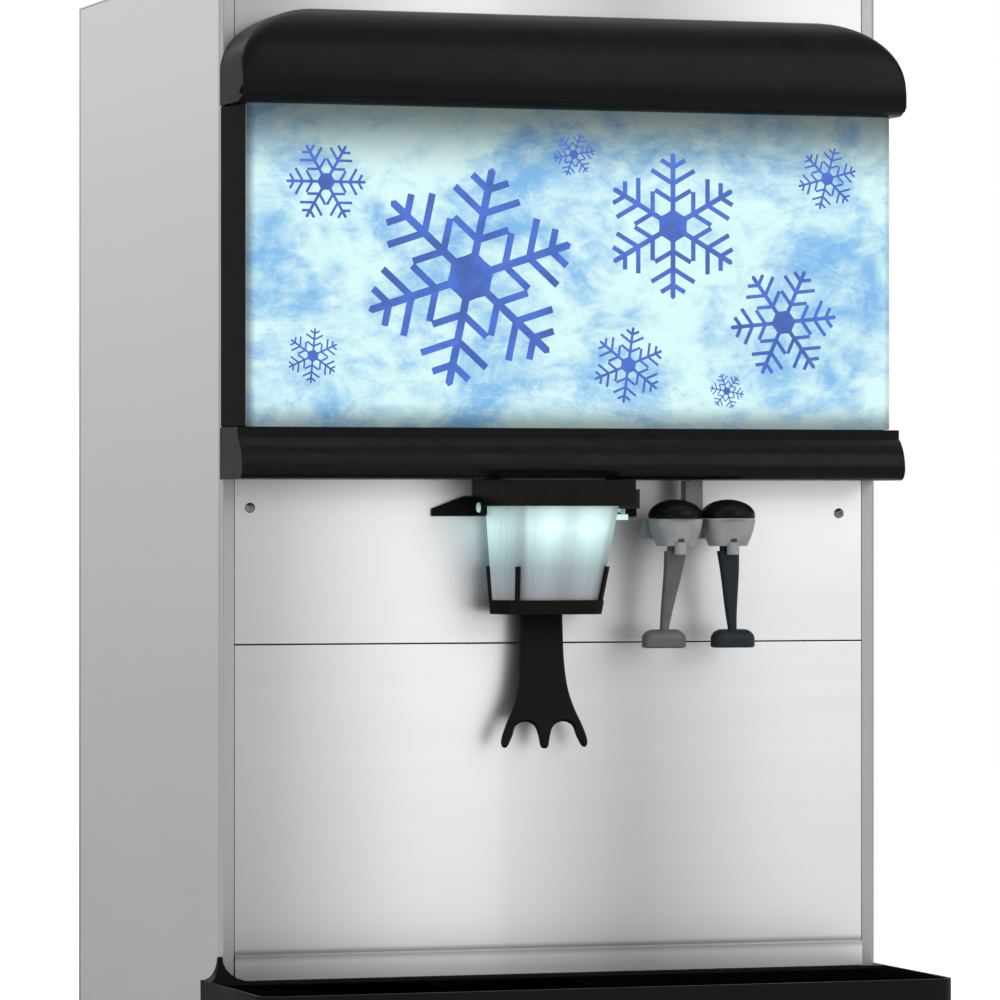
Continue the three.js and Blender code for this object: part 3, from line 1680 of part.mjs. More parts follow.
const gridOutline = grown(basinOutline, -grid.edgeGap);
const gridLow = ledgeTop + gap;
const gridHalf = trayHalf - tray.wall - grid.edgeGap;
const gridBack = -gap - tray.wall - grid.edgeGap;
const gridFront = -tray.reach + tray.wall + grid.edgeGap;
const rowDepth = (gridBack - gridFront - grid.border * 2 - grid.bar * (grid.rows - 1)) / grid.rows;
const columns = Math.floor((gridHalf - grid.border * 2) / grid.slotPitch) * 2 + 1;
const slots = spread(grid.rows, rowDepth + grid.bar).flatMap((y) =>
  spread(columns, grid.slotPitch).map((x) =>
    block(
      x - grid.slotWidth / 2,
      x + grid.slotWidth / 2,
      (gridBack + gridFront) / 2 + y - rowDepth / 2,
      (gridBack + gridFront) / 2 + y + rowDepth / 2,
      gridLow - overrun,
      gridLow + grid.thickness + overrun,
    ),
  ),
);
piece(
  trayGroup,
  "cup_rest",
  cut(prism(gridOutline, "z", gridLow, gridLow + grid.thickness), ...slots),
  "black",
);

export default machine;
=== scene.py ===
import json
import math

import bmesh
import bpy
from mathutils import Euler, Matrix, Vector


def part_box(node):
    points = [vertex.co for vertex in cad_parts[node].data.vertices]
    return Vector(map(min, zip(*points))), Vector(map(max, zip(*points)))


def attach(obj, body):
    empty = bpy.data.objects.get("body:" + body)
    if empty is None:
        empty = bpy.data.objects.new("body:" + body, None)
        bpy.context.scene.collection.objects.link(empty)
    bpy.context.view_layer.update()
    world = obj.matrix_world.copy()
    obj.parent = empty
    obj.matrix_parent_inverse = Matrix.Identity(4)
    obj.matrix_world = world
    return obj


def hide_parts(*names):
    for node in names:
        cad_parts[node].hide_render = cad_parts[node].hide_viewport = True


bl_info = {
    "name": "Ice dispenser looks",
    "version": (1, 0, 0),
    "blender": (4, 5, 0),
    "location": "View3D > Sidebar > Dispenser",
    "description": "Models and finishes every piece of a countertop ice dispenser",
    "category": "Object",
}

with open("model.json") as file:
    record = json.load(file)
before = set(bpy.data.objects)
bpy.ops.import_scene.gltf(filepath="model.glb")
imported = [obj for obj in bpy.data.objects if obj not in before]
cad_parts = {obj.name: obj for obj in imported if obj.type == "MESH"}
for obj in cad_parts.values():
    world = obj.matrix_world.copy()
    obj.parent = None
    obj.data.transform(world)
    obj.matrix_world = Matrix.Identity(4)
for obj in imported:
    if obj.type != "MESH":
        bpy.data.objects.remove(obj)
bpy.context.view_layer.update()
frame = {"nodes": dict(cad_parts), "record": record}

MM = 0.001
# Points nearer than this are one, and faces whose normals differ by less are one face
WELD = 0.002 * MM
FLAT_ANGLE = math.radians(0.5)
BODY_OF = {
    node: body for body, nodes in frame["record"]["behaviour"]["bodies"].items() for node in nodes
}

# Planes and clearances read from the frame
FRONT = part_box("upper_splash_panel")[0].y
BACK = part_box("back_panel")[1].y
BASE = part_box("base_pan")[0].z
SIGN_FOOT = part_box("sign_rail")[0].z
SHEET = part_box("back_panel")[1].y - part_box("back_panel")[0].y
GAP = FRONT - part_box("sign_rail")[1].y
CHUTE_X = (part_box("drop_throat")[0].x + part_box("drop_throat")[1].x) / 2
CHUTE_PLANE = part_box("microswitch")[1].z + GAP


# Settings that a user would change
def length(name, description, millimetres):
    return bpy.props.FloatProperty(
        name=name, description=description, default=millimetres * MM, precision=5, unit="LENGTH"
    )


def count(name, description, default):
    return bpy.props.IntProperty(name=name, description=description, default=default, min=1)


def colour(name, description, red, green, blue):
    return bpy.props.FloatVectorProperty(
        name=name, description=description, default=(red, green, blue), min=0, max=1, subtype="COLOR"
    )


class CabinetSizes(bpy.types.PropertyGroup):
    """Sizes of the steel cabinet's finish."""

    edge: length("Sheet edge", "Rounding of the cut edges of the sheet", 0.4)
    bend: length("Bend radius", "Outer radius of the cabinet's folded corners", 4)
    screw_head: length("Screw head", "Diameter of the panel screws' heads", 8)
    moulded_edge: length("Moulded edge", "Rounding of the edges of moulded plastic", 0.9)


class SignSizes(bpy.types.PropertyGroup):
    """Sizes of the sign over the chute."""

    wall: length("Wall", "Wall of the hood", 3)
    shoulder_width: length("Shoulder width", "How far in the hood's round shoulders reach", 70)
    shoulder_drop: length("Shoulder drop", "How far the shoulders fall", 48)
    crown_setback: length("Crown setback", "From the front panels to the hood's highest line", 35)
    crown_fall: length("Crown fall", "How far the crown falls towards the panels", 10)
    lip: length("Lip", "From the hood's lower edge up to its fullest depth", 16)
    overhang: length("Overhang", "How far the fullest depth passes the lower edge", 16.5)
    crease: bpy.props.FloatProperty(
        name="Crease", description="Higher is a sharper meeting of the hood's curves", default=4.5, min=2
    )
    print_relief: length("Print relief", "Thickness of the printed flakes", 0.25)


class ChuteSizes(bpy.types.PropertyGroup):
    """Sizes of the ice chute and its push lever."""

    wall: length("Wall", "Wall of the clear chute", 2.5)
    ribs: count("Ribs", "Upright ribs on the front of the chute", 7)
    side_ribs: count("Side ribs", "Upright ribs on each side of the chute", 4)
    lever_plate: length("Lever plate", "Thickness of the push lever", 4)


class DispenserColours(bpy.types.PropertyGroup):
    """Main colours, as linear values."""

    steel: colour("Front steel", "Brushed sheet of the front panels", 0.86, 0.86, 0.87)
    # The side steel is the front's brushed sheet painted darker: painted shade of the sides
    side_steel_shaded: colour("Side steel", "Brushed sheet of the side panels", 0.47, 0.47, 0.475)
    black: colour("Black plastic", "Hood, rail, tray and caps", 0.0052, 0.0047, 0.0043)
    ice_pale: colour("Pale ice", "Brightest parts of the lit lens", 0.66, 0.9, 0.9)
    ice_blue: colour("Blue ice", "Bluest parts of the lit lens", 0.2, 0.47, 0.78)
    print_blue: colour("Print blue", "Flakes printed on the lens", 0.035, 0.11, 0.47)
    clear_tint: colour("Clear tint", "Tint of the clear chute", 0.9, 1.0, 0.99)


# Outlines as lists of two numbers
def arc(centre, radius, start, end, steps):
    angles = [start + (end - start) * i / steps for i in range(steps + 1)]
    return [(centre[0] + radius * math.cos(a), centre[1] + radius * math.sin(a)) for a in angles]


def oblong(x0, x1, y0, y1):
    return [(x0, y0), (x1, y0), (x1, y1), (x0, y1)]


def rounded(points, radii, steps=8):
    """The outline with its corners rounded: one radius for all, or one for each corner."""
    total = len(points)
    made = []
    for i, point in enumerate(points):
        radius = radii[i] if isinstance(radii, (list, tuple)) else radii
        if not radius:
            made.append(tuple(point))
            continue
        corner = Vector(point[:2])
        ways = [(Vector(points[j % total][:2]) - corner).normalized() for j in (i - 1, i + 1)]
        half = ways[0].angle(ways[1]) / 2
        centre = corner + (ways[0] + ways[1]).normalized() * radius / math.sin(half)
        touches = [corner + way * radius / math.tan(half) - centre for way in ways]
        angles = [math.atan2(touch.y, touch.x) for touch in touches]
        turn = (angles[1] - angles[0] + math.pi) % (2 * math.pi) - math.pi
        made += arc(centre, radius, angles[0], angles[0] + turn, steps)
    return made


def grown(points, distance):
    """The outline moved outwards, or inwards by a negative distance, with mitred corners."""
    total = len(points)
    pairs = [(points[i], points[(i + 1) % total]) for i in range(total)]
    way = math.copysign(1, sum(a[0] * b[1] - b[0] * a[1] for a, b in pairs))
    normals = [Vector((b[1] - a[1], a[0] - b[0])).normalized() * way for a, b in pairs]
    made = []
    for i, point in enumerate(points):
        before, after = normals[i - 1], normals[i]
        step = (before + after) * distance / (1 + before.dot(after))
        made.append((point[0] + step.x, point[1] + step.y))
    return made


def smooth_line(points, steps=6):
    """A curve through the points of an open line."""
    padded = [points[0], *points, points[-1]]
    made = []
    for i in range(1, len(padded) - 2):
        a, b, c, d = (Vector(p) for p in padded[i - 1 : i + 3])
        bend = 2 * a - 5 * b + 4 * c - d
        twist = 3 * b - a - 3 * c + d
        for step in range(steps):
            t = step / steps
            made.append(tuple(0.5 * (2 * b + (c - a) * t + bend * t**2 + twist * t**3)))
    return made + [tuple(points[-1])]


# Closed meshes in the making
def loft(loops, capped=True):
    """A closed mesh through loops of points, all with the same count."""
    made = bmesh.new()
    rings = [[made.verts.new(point) for point in loop] for loop in loops]
    total = len(rings[0])
    for lower, upper in zip(rings, rings[1:]):
        for i in range(total):
            after = (i + 1) % total
            made.faces.new((lower[i], lower[after], upper[after], upper[i]))
    if capped:
        made.faces.new(rings[0][::-1])
        made.faces.new(rings[-1])
    bmesh.ops.recalc_face_normals(made, faces=made.faces)
    return made


def hollow(outer, inner):
    """A closed wall between two sets of loops, both listed from the lowest to the highest."""
    made = loft([*outer, *inner[::-1], outer[0]], capped=False)
    bmesh.ops.remove_doubles(made, verts=made.verts, dist=WELD)
    bmesh.ops.recalc_face_normals(made, faces=made.faces)
    return made


AXIS_PLACES = {
    "z": lambda a, b, level: (a, b, level),
    "y": lambda a, b, level: (a, level, b),
    "x": lambda a, b, level: (level, a, b),
}


def prism(outline, axis, low, high):
    """An outline pushed along an axis: [x, y] along Z, [x, z] along Y or [y, z] along X."""
    place = AXIS_PLACES[axis]
    return loft([[place(a, b, level) for a, b in outline] for level in (low, high)])


def block(low, high):
    return prism(oblong(low[0], high[0], low[1], high[1]), "z", low[2], high[2])


def turned(profile, axis="z", centre=(0, 0, 0), sides=48):
    """A profile of (radius, height) turned about an axis that it starts on."""
    made = bmesh.new()
    rings = []
    for radius, height in profile:
        total = 1 if radius == 0 else sides
        angles = [2 * math.pi * i / sides for i in range(total)]
        ring = [AXIS_PLACES[axis](radius * math.cos(a), radius * math.sin(a), height) for a in angles]
        rings.append([made.verts.new(Vector(point) + Vector(centre)) for point in ring])
    for lower, upper in zip(rings, rings[1:]):
        for i in range(sides):
            after = (i + 1) % sides
            corners = [lower[i % len(lower)], lower[after % len(lower)]]
            corners += [upper[after % len(upper)], upper[i % len(upper)]]
            unique = list(dict.fromkeys(corners))
            if len(unique) > 2:
                made.faces.new(unique)
    bmesh.ops.recalc_face_normals(made, faces=made.faces)
    return made


def rod(radius, low, high, axis="z", centre=(0, 0, 0), sides=32, chamfer=0):
    profile = [(0, low), (radius - chamfer, low), (radius, low + chamfer)]
    profile += [(radius, high - chamfer), (radius - chamfer, high), (0, high)]
    if not chamfer:
        profile = [(0, low), (radius, low), (radius, high), (0, high)]
    return turned(profile, axis, centre, sides)


def moved(shape, matrix):
    bmesh.ops.transform(shape, matrix=matrix, verts=shape.verts)
    return shape


# Objects from those meshes
def as_object(name, *shapes):
    mesh = bpy.data.meshes.new(name)
    made = bmesh.new()
    for shape in shapes:
        shape.to_mesh(mesh)
        shape.free()
        made.from_mesh(mesh)
    made.to_mesh(mesh)
    made.free()
    obj = bpy.data.objects.new(name, mesh)
    bpy.context.scene.collection.objects.link(obj)
    return obj


def bake_modifiers(obj):
    """Makes the modified shape the object's own plain mesh."""
    bpy.context.view_layer.update()
    evaluated = obj.evaluated_get(bpy.context.evaluated_depsgraph_get())
    mesh = bpy.data.meshes.new_from_object(evaluated)
    mesh.name = obj.name
    obj.modifiers.clear()
    old = obj.data
    obj.data = mesh
    if old.users == 0:
        bpy.data.meshes.remove(old)


def drop(obj):
    mesh = obj.data
    bpy.data.objects.remove(obj)
    bpy.data.meshes.remove(mesh)


def tidy_faces(obj):
    """Merges doubled corners and makes flat faces whole again."""
    made = bmesh.new()
    made.from_mesh(obj.data)
    bmesh.ops.remove_doubles(made, verts=made.verts, dist=WELD)
    bmesh.ops.dissolve_limit(made, angle_limit=FLAT_ANGLE, verts=made.verts, edges=made.edges)
    made.to_mesh(obj.data)
    made.free()
    return obj


def reworked(obj, joins=(), cuts=()):
    """An object with meshes joined to it and then others cut away."""
    for operation, tools in (("UNION", joins), ("DIFFERENCE", cuts)):
        for tool_shape in tools:
            tool = as_object(obj.name + "_tool", tool_shape)
            boolean = obj.modifiers.new("cut", "BOOLEAN")
            boolean.operation = operation
            boolean.solver = "EXACT"
            boolean.object = tool
            bake_modifiers(obj)
            drop(tool)
    return tidy_faces(obj)


def carved(name, base, joins=(), cuts=()):
    return reworked(as_object(name, base), joins, cuts)


def refined(node):
    """A merged copy of a frame node, with its flat faces whole."""
    mesh = frame["nodes"][node].data.copy()
    mesh.name = node + "_dressed"
    mesh.materials.clear()
    obj = bpy.data.objects.new(mesh.name, mesh)
    bpy.context.scene.collection.objects.link(obj)
    for attribute in [a.name for a in mesh.attributes if a.name.startswith("custom_normal")]:
        mesh.attributes.remove(mesh.attributes[attribute])
    return tidy_faces(obj)


def soften(obj, width, segments, angle):
    """Rounds the edges that turn by more than the angle."""
    bevel = obj.modifiers.new("edges", "BEVEL")
    bevel.width = width
    bevel.segments = segments
    bevel.limit_method = "ANGLE"
    bevel.angle_limit = math.radians(angle)
    bevel.use_clamp_overlap = True
    bevel.miter_outer = "MITER_ARC"


def dressed(obj, finish, *nodes, body=None, edge=0.0, segments=3, angle=30):
    """Softens, shades and paints a piece, and ties it to the frame."""
    if edge:
        soften(obj, edge, segments, angle)
    for face in obj.data.polygons:
        face.use_smooth = True
    evened = obj.modifiers.new("normals", "WEIGHTED_NORMAL")
    evened.keep_sharp = True
    bake_modifiers(obj)
    obj.data.materials.clear()
    obj.data.materials.append(finish)
    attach(obj, body or BODY_OF[nodes[0]])
    if nodes:
        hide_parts(*nodes)


def dress_nodes(*rows):
    """Dresses nodes in the frame's own shapes: each a node, its finish, its edge in mm and an angle."""
    for node, finish_name, edge, angle in rows:
        dressed(refined(node), FINISHES[finish_name], node, edge=edge * MM, angle=angle)


# Node trees: add() makes a node and fills its sockets by name, or by place as n0, n1
def plug(tree, socket, value):
    if isinstance(value, bpy.types.Node):
        value = value.outputs[0]
    if isinstance(value, bpy.types.NodeSocket):
        tree.links.new(value, socket)
    else:
        socket.default_value = value


def add(tree, kind, settings=None, **inputs):
    made = tree.nodes.new(kind)
    for key, value in (settings or {}).items():
        setattr(made, key, value)
    for key, value in inputs.items():
        by_place = key[0] == "n" and key[1:].isdigit()
        socket = int(key[1:]) if by_place else key.replace("_", " ")
        plug(tree, made.inputs[socket], value)
    return made


def maths(tree, operation, first, second=0.0, third=0.0):
    made = add(tree, "ShaderNodeMath", {"operation": operation}, n0=first, n1=second, n2=third)
    return made.outputs[0]


def blended(tree, factor, first, second, way="MIX"):
    settings = {"data_type": "RGBA", "blend_type": way}
    return add(tree, "ShaderNodeMix", settings, n0=factor, n6=first, n7=second).outputs[2]


def multiplied(tree, first, second):
    return blended(tree, 1.0, first, second, "MULTIPLY")


def axes_of(tree, vector):
    return add(tree, "ShaderNodeSeparateXYZ", n0=vector).outputs


def ramp(tree, factor, stops, interpolation="LINEAR"):
    """Grey levels or colours at positions from 0 to 1."""
    made = add(tree, "ShaderNodeValToRGB", n0=factor)
    made.color_ramp.interpolation = interpolation
    elements = made.color_ramp.elements
    while len(elements) < len(stops):
        elements.new(1)
    for element, (position, tone) in zip(elements, stops):
        element.position = position
        element.color = (*tone, 1) if isinstance(tone, tuple) else (tone, tone, tone, 1)
    return made.outputs[0]


def spread_range(tree, value, low, high, to_low=0.0, to_high=1.0, way="SMOOTHSTEP"):
    settings = {"interpolation_type": way}
    return add(
        tree, "ShaderNodeMapRange", settings, n0=value, n1=low, n2=high, n3=to_low, n4=to_high
    ).outputs[0]


def noise(tree, vector, scale, detail=3.0, roughness=0.5, distortion=0.0):
    made = add(
        tree,
        "ShaderNodeTexNoise",
        Vector=vector,
        Scale=scale,
        Detail=detail,
        Roughness=roughness,
        Distortion=distortion,
    )
    return made.outputs[0]


def stretched(tree, vector, scale):
    return add(
        tree, "ShaderNodeVectorMath", {"operation": "MULTIPLY"}, n0=vector, n1=scale
    ).outputs[0]


GROUPS = {}


def group(name, inputs, outputs, fill):
    """Builds a shader node group once: fill(tree, inside) returns its output sockets' sources."""
    if name not in GROUPS:
        tree = bpy.data.node_groups.new(name, "ShaderNodeTree")
        for socket_name, kind, default in inputs:
            socket = tree.interface.new_socket(socket_name, in_out="INPUT", socket_type=kind)
            socket.default_value = default
        for socket_name, kind in outputs:
            tree.interface.new_socket(socket_name, in_out="OUTPUT", socket_type=kind)
        inside = tree.nodes.new("NodeGroupInput")
        result = tree.nodes.new("NodeGroupOutput")
        for socket, source in zip(result.inputs, fill(tree, inside.outputs)):
            tree.links.new(source, socket)
        GROUPS[name] = tree
    return GROUPS[name]


def use_group(tree, shared, **inputs):
    made = tree.nodes.new("ShaderNodeGroup")
    made.node_tree = shared
    for key, value in inputs.items():
        plug(tree, made.inputs[key.replace("_", " ")], value)
    return made.outputs


VECTOR, FLOAT, COLOUR = "NodeSocketVector", "NodeSocketFloat", "NodeSocketColor"


def brushed_grain():
    """Long fine scratches of brushed sheet, drawn out along two of the axes."""

    def fill(tree, inside):
        fine = noise(tree, stretched(tree, inside["Vector"], inside["Stretch"]), 1.0, 4.0, 0.65)
        broad = noise(tree, stretched(tree, inside["Vector"], inside["Broad Stretch"]), 1.0, 3.0, 0.5)
        streak = maths(tree, "ADD", maths(tree, "MULTIPLY", fine, 0.65), maths(tree, "MULTIPLY", broad, 0.35))
        return streak, fine

    return group(
        "brushed_grain",
        [
            ("Vector", VECTOR, (0, 0, 0)),
            ("Stretch", VECTOR, (9, 9, 1600)),
            ("Broad Stretch", VECTOR, (2, 2, 90)),
        ],
        [("Streak", FLOAT), ("Height", FLOAT)],
        fill,
    )


def soft_tone(tree, place, scale):
    """Slow cloudy variation, as from handling and uneven stock."""

    def fill(tree, inside):
        cloud = noise(tree, inside["Vector"], inside["Scale"], 4.0, 0.55, 0.4)
        return (spread_range(tree, cloud, 0.3, 0.7),)

    inputs = [("Vector", VECTOR, (0, 0, 0)), ("Scale", FLOAT, 6.0)]
    shared = group("soft_tone", inputs, [("Tone", FLOAT)], fill)
    return use_group(tree, shared, Vector=place, Scale=scale)["Tone"]


def moulded_skin():
    """Spark-eroded skin of moulded plastic, with a faint mottle."""

    def fill(tree, inside):
        skin = noise(tree, inside["Vector"], inside["Fineness"], 2.0, 0.6)
        mottle = noise(tree, inside["Vector"], 60.0, 4.0, 0.6)
        return skin, spread_range(tree, mottle, 0.35, 0.65)

    inputs = [("Vector", VECTOR, (0, 0, 0)), ("Fineness", FLOAT, 1400.0)]
    return group("moulded_skin", inputs, [("Height", FLOAT), ("Mottle", FLOAT)], fill)


def edge_wear():
    """Rubbed places along the outer edges, broken up by noise."""

    def fill(tree, inside):
        point = add(tree, "ShaderNodeNewGeometry").outputs["Pointiness"]
        edge = spread_range(tree, point, 0.52, 0.6)
        broken = spread_range(tree, noise(tree, inside["Vector"], 220.0, 4.0, 0.7), 0.4, 0.62)
        return (maths(tree, "MULTIPLY", maths(tree, "MULTIPLY", edge, broken), inside["Amount"]),)

    inputs = [("Vector", VECTOR, (0, 0, 0)), ("Amount", FLOAT, 0.5)]
    return group("edge_wear", inputs, [("Wear", FLOAT)], fill)


def dust_film():
    """Fine dust that settles on what faces up."""

    def fill(tree, inside):
        normal = add(tree, "ShaderNodeNewGeometry").outputs["Normal"]
        upward = axes_of(tree, normal)["Z"]
        lying = spread_range(tree, upward, 0.35, 0.95)
        patchy = spread_range(tree, noise(tree, inside["Vector"], 30.0, 5.0, 0.65), 0.3, 0.75, 0.4, 1.0)
        return (maths(tree, "MULTIPLY", maths(tree, "MULTIPLY", lying, patchy), inside["Amount"]),)

    inputs = [("Vector", VECTOR, (0, 0, 0)), ("Amount", FLOAT, 0.3)]
    return group("dust_film", inputs, [("Dust", FLOAT)], fill)


# Finishes
FINISHES = {}
DUST_TONE = (0.42, 0.40, 0.37, 1)


def finish(name, slot=None):
    """Starts a material: its tree, its shader and its object coordinates."""
    made = bpy.data.materials.new(name)
    made.use_nodes = True
    made["slot"] = slot or name
    tree = made.node_tree
    tree.nodes.clear()
    shader = tree.nodes.new("ShaderNodeBsdfPrincipled")
    ending = tree.nodes.new("ShaderNodeOutputMaterial")
    tree.links.new(shader.outputs[0], ending.inputs[0])
    place = tree.nodes.new("ShaderNodeTexCoord").outputs["Object"]
    FINISHES[name] = made
    return tree, shader, place


def fill_shader(tree, shader, **inputs):
    for key, value in inputs.items():
        plug(tree, shader.inputs[key.replace("_", " ")], value)


def bumped(tree, height, strength, distance=0.1 * MM):
    return add(
        tree, "ShaderNodeBump", Strength=strength, Distance=distance, Height=height
    ).outputs[0]


def shade(rgb, factor):
    return (*(min(1, channel * factor) for channel in rgb), 1)


# Painted reflection bands: soft upright bands of reflected light and shade on the front sheet, as shares of
# the panel's width, and of its tone
FRONT_REFLECTION_BANDS = [
    (0.008, 0.473), (0.055, 0.513), (0.101, 0.602), (0.148, 0.683), (0.194, 0.763), (0.241, 0.841),
    (0.288, 0.897), (0.335, 0.899), (0.383, 0.896), (0.43, 0.809), (0.574, 0.556), (0.638, 0.525),
    (0.671, 0.563), (0.736, 0.639), (0.801, 0.723), (0.866, 0.793), (0.932, 0.805), (0.981, 0.797),
]
# Painted shade up the front: shares of the cabinet's height, and of the tone, lightest at mid height and
# darker towards the foot and the top, with a painted shaded line under the hem
FRONT_SHADE_CLIMB = [
    (0.1035, 0.92), (0.1065, 0.4), (0.1095, 0.4), (0.1135, 0.88), (0.173, 0.865), (0.227, 0.875),
    (0.289, 0.91), (0.422, 0.936), (0.458, 0.96), (0.497, 1.0), (0.952, 0.72), (1, 0.69),
]
# Depths behind the front planes over which the painted shade on the folded corner fades
CORNER_SHADE_DEPTHS = (0.5 * MM, 7 * MM)


def steel_finish(
    name, rgb, roughness, stretch, broad, painted_bands=None, painted_shades=None, rise=(1.0, 1.0), corner=None, slot=None
):
    """Brushed sheet: grain, slow tone, painted reflection bands across the panels, painted shade up them and
    painted shade on the front corner.
    """
    tree, shader, place = finish(name, slot)
    grain = use_group(tree, brushed_grain(), Vector=place, Stretch=stretch, Broad_Stretch=broad)
    tone = soft_tone(tree, place, 4.0)
    dust = use_group(tree, dust_film(), Vector=place, Amount=0.12)["Dust"]
    base = blended(tree, grain["Streak"], shade(rgb, 0.93), shade(rgb, 1.05))
    base = blended(tree, tone, base, shade(rgb, 1.0))
    axes = axes_of(tree, place)
    # Painted reflection bands across the panel
    if painted_bands:
        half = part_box("upper_splash_panel")[1].x
        across = spread_range(tree, axes["X"], -half, half, way="LINEAR")
        base = multiplied(tree, base, ramp(tree, across, painted_bands, "B_SPLINE"))
    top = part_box("top_panel")[1].z
    # Painted shade up the panel: a ramp of shares of the tone, or a straight rise from the foot to the top
    if painted_shades:
        painted_shade = ramp(tree, spread_range(tree, axes["Z"], BASE, top, way="LINEAR"), painted_shades)
    else:
        painted_shade = spread_range(tree, axes["Z"], BASE, top, *rise, "LINEAR")
    # Painted shade on the folded front corner
    if corner:
        start, end = (FRONT + depth for depth in CORNER_SHADE_DEPTHS)
        painted_shade = spread_range(tree, axes["Y"], start, end, corner, painted_shade)
    base = multiplied(tree, base, painted_shade)
    rough = maths(tree, "MULTIPLY_ADD", grain["Streak"], 0.16, roughness - 0.08)
    rough = maths(tree, "MULTIPLY_ADD", tone, 0.03, rough)
    fill_shader(
        tree,
        shader,
        Base_Color=blended(tree, dust, base, DUST_TONE),
        Metallic=1.0,
        Roughness=maths(tree, "ADD", rough, maths(tree, "MULTIPLY", dust, 0.3)),
        Normal=bumped(tree, grain["Height"], 0.12, 0.05 * MM),
    )


# Painted shade on moulded faces that look sideways: their shine as a share of the others', so that they
# render darker
SIDEWAYS_SHADE_SHARE = 0.2


def plastic_finish(
    name,
    rgb,
    roughness,
    fineness=1400.0,
    relief=0.1,
    wear=0.3,
    dust=0.15,
    shine=0.3,
    slot=None,
    worn=2.2,
    mottle=0.11,
):
    """Moulded plastic: a fine skin, a faint mottle, painted shade on end faces by a duller shine, rubbed
    edges and a little dust.
    """
    tree, shader, place = finish(name, slot)
    skin = use_group(tree, moulded_skin(), Vector=place, Fineness=fineness)
    tone = soft_tone(tree, place, 14.0)
    rubbed = use_group(tree, edge_wear(), Vector=place, Amount=wear)["Wear"]
    settled = use_group(tree, dust_film(), Vector=place, Amount=dust)["Dust"]
    base = blended(tree, skin["Mottle"], shade(rgb, 1 - mottle), shade(rgb, 1 + mottle))
    base = blended(tree, rubbed, base, (*(c * worn + 0.004 for c in rgb), 1))
    rough = maths(tree, "MULTIPLY_ADD", tone, 0.1, roughness - 0.05)
    rough = maths(tree, "ADD", rough, maths(tree, "MULTIPLY", settled, 0.4))
    # Painted shade: faces that look sideways get a duller shine
    normal = add(tree, "ShaderNodeNewGeometry").outputs["Normal"]
    aside = maths(tree, "ABSOLUTE", axes_of(tree, normal)["X"])
    fill_shader(
        tree,
        shader,
        Base_Color=blended(tree, settled, base, DUST_TONE),
        Roughness=rough,
        Specular_IOR_Level=spread_range(tree, aside, 0.85, 0.98, shine, shine * SIDEWAYS_SHADE_SHARE),
        Normal=bumped(tree, skin["Height"], relief, 0.08 * MM),
    )


def metal_finish(
    name, rgb, roughness, scale=300.0, relief=0.15, metallic=1.0, slot=None, mottle=(0.86, 1.1)
):
    """Plain metal: turned, cast or drawn, with a fine surface and rubbed edges."""
    tree, shader, place = finish(name, slot)
    grain = noise(tree, place, scale, 4.0, 0.6)
    tone = soft_tone(tree, place, 20.0)
    rubbed = use_group(tree, edge_wear(), Vector=place, Amount=0.5)["Wear"]
    base = blended(tree, grain, shade(rgb, mottle[0]), shade(rgb, mottle[1]))
    base = blended(tree, rubbed, base, shade(rgb, 1.3))
    fill_shader(
        tree,
        shader,
        Base_Color=base,
        Metallic=metallic,
        Roughness=maths(tree, "MULTIPLY_ADD", tone, 0.12, roughness - 0.06),
        Normal=bumped(tree, grain, relief, 0.1 * MM),
    )


def galvanised_finish():
    """Zinc spangle on folded sheet."""
    tree, shader, place = finish("galvanised_steel")
    spangle = add(tree, "ShaderNodeTexVoronoi", Vector=place, Scale=130.0, Randomness=1.0)
    facet = add(tree, "ShaderNodeSeparateColor", n0=spangle.outputs["Color"]).outputs[0]
    grain = noise(tree, place, 700.0, 3.0)
    fill_shader(
        tree,
        shader,
        Base_Color=blended(tree, facet, (0.36, 0.38, 0.39, 1), (0.58, 0.6, 0.62, 1)),
        Metallic=0.9,
        Roughness=maths(tree, "MULTIPLY_ADD", facet, 0.2, 0.36),
        Normal=bumped(tree, grain, 0.15),
    )


def foam_finish():
    """Poured insulation with fine cells."""
    tree, shader, place = finish("insulation_foam")
    cells = add(tree, "ShaderNodeTexVoronoi", Vector=place, Scale=420.0).outputs["Distance"]
    tone = soft_tone(tree, place, 9.0)
    base = blended(tree, tone, (0.72, 0.58, 0.3, 1), (0.83, 0.72, 0.45, 1))
    fill_shader(
        tree,
        shader,
        Base_Color=blended(tree, cells, base, (0.55, 0.43, 0.22, 1)),
        Roughness=0.9,
        Normal=bumped(tree, cells, 0.6, 0.6 * MM),
    )


def ice_glow():
    """Colour of back-lit ice: pale clouds, blue hollows and soft frosty veins."""

    def fill(tree, inside):
        place = inside["Vector"]
        cloud = noise(tree, place, 9.0, 6.0, 0.62, 0.9)
        small = noise(tree, place, 42.0, 5.0, 0.65, 0.5)
        body = maths(tree, "MULTIPLY_ADD", small, 0.45, maths(tree, "MULTIPLY", cloud, 0.75))
        pale = spread_range(tree, body, 0.45, 0.7)
        base = blended(tree, pale, inside["Blue"], inside["Pale"])
        folds = noise(tree, place, 13.0, 5.0, 0.6, 1.6)
        veins = maths(tree, "ABSOLUTE", maths(tree, "SUBTRACT", folds, 0.5))
        frost = maths(tree, "MULTIPLY", spread_range(tree, veins, 0.0, 0.03, 0.3, 0.0), small)
        return (blended(tree, frost, base, (0.86, 1.0, 1.0, 1)),)

    inputs = [("Vector", VECTOR, (0, 0, 0)), ("Pale", COLOUR, (1, 1, 1, 1)), ("Blue", COLOUR, (0, 0, 1, 1))]
    return group("ice_glow", inputs, [("Color", COLOUR)], fill)


# Borders of the lit lens: how far in each one dims, and the tone at its edge
LENS_BORDERS = {
    "X": [(0, 9 * MM, 0.35), (1, 6 * MM, 0.75)],
    "Z": [(0, 22 * MM, 0.34), (1, 62 * MM, 0.16)],
}


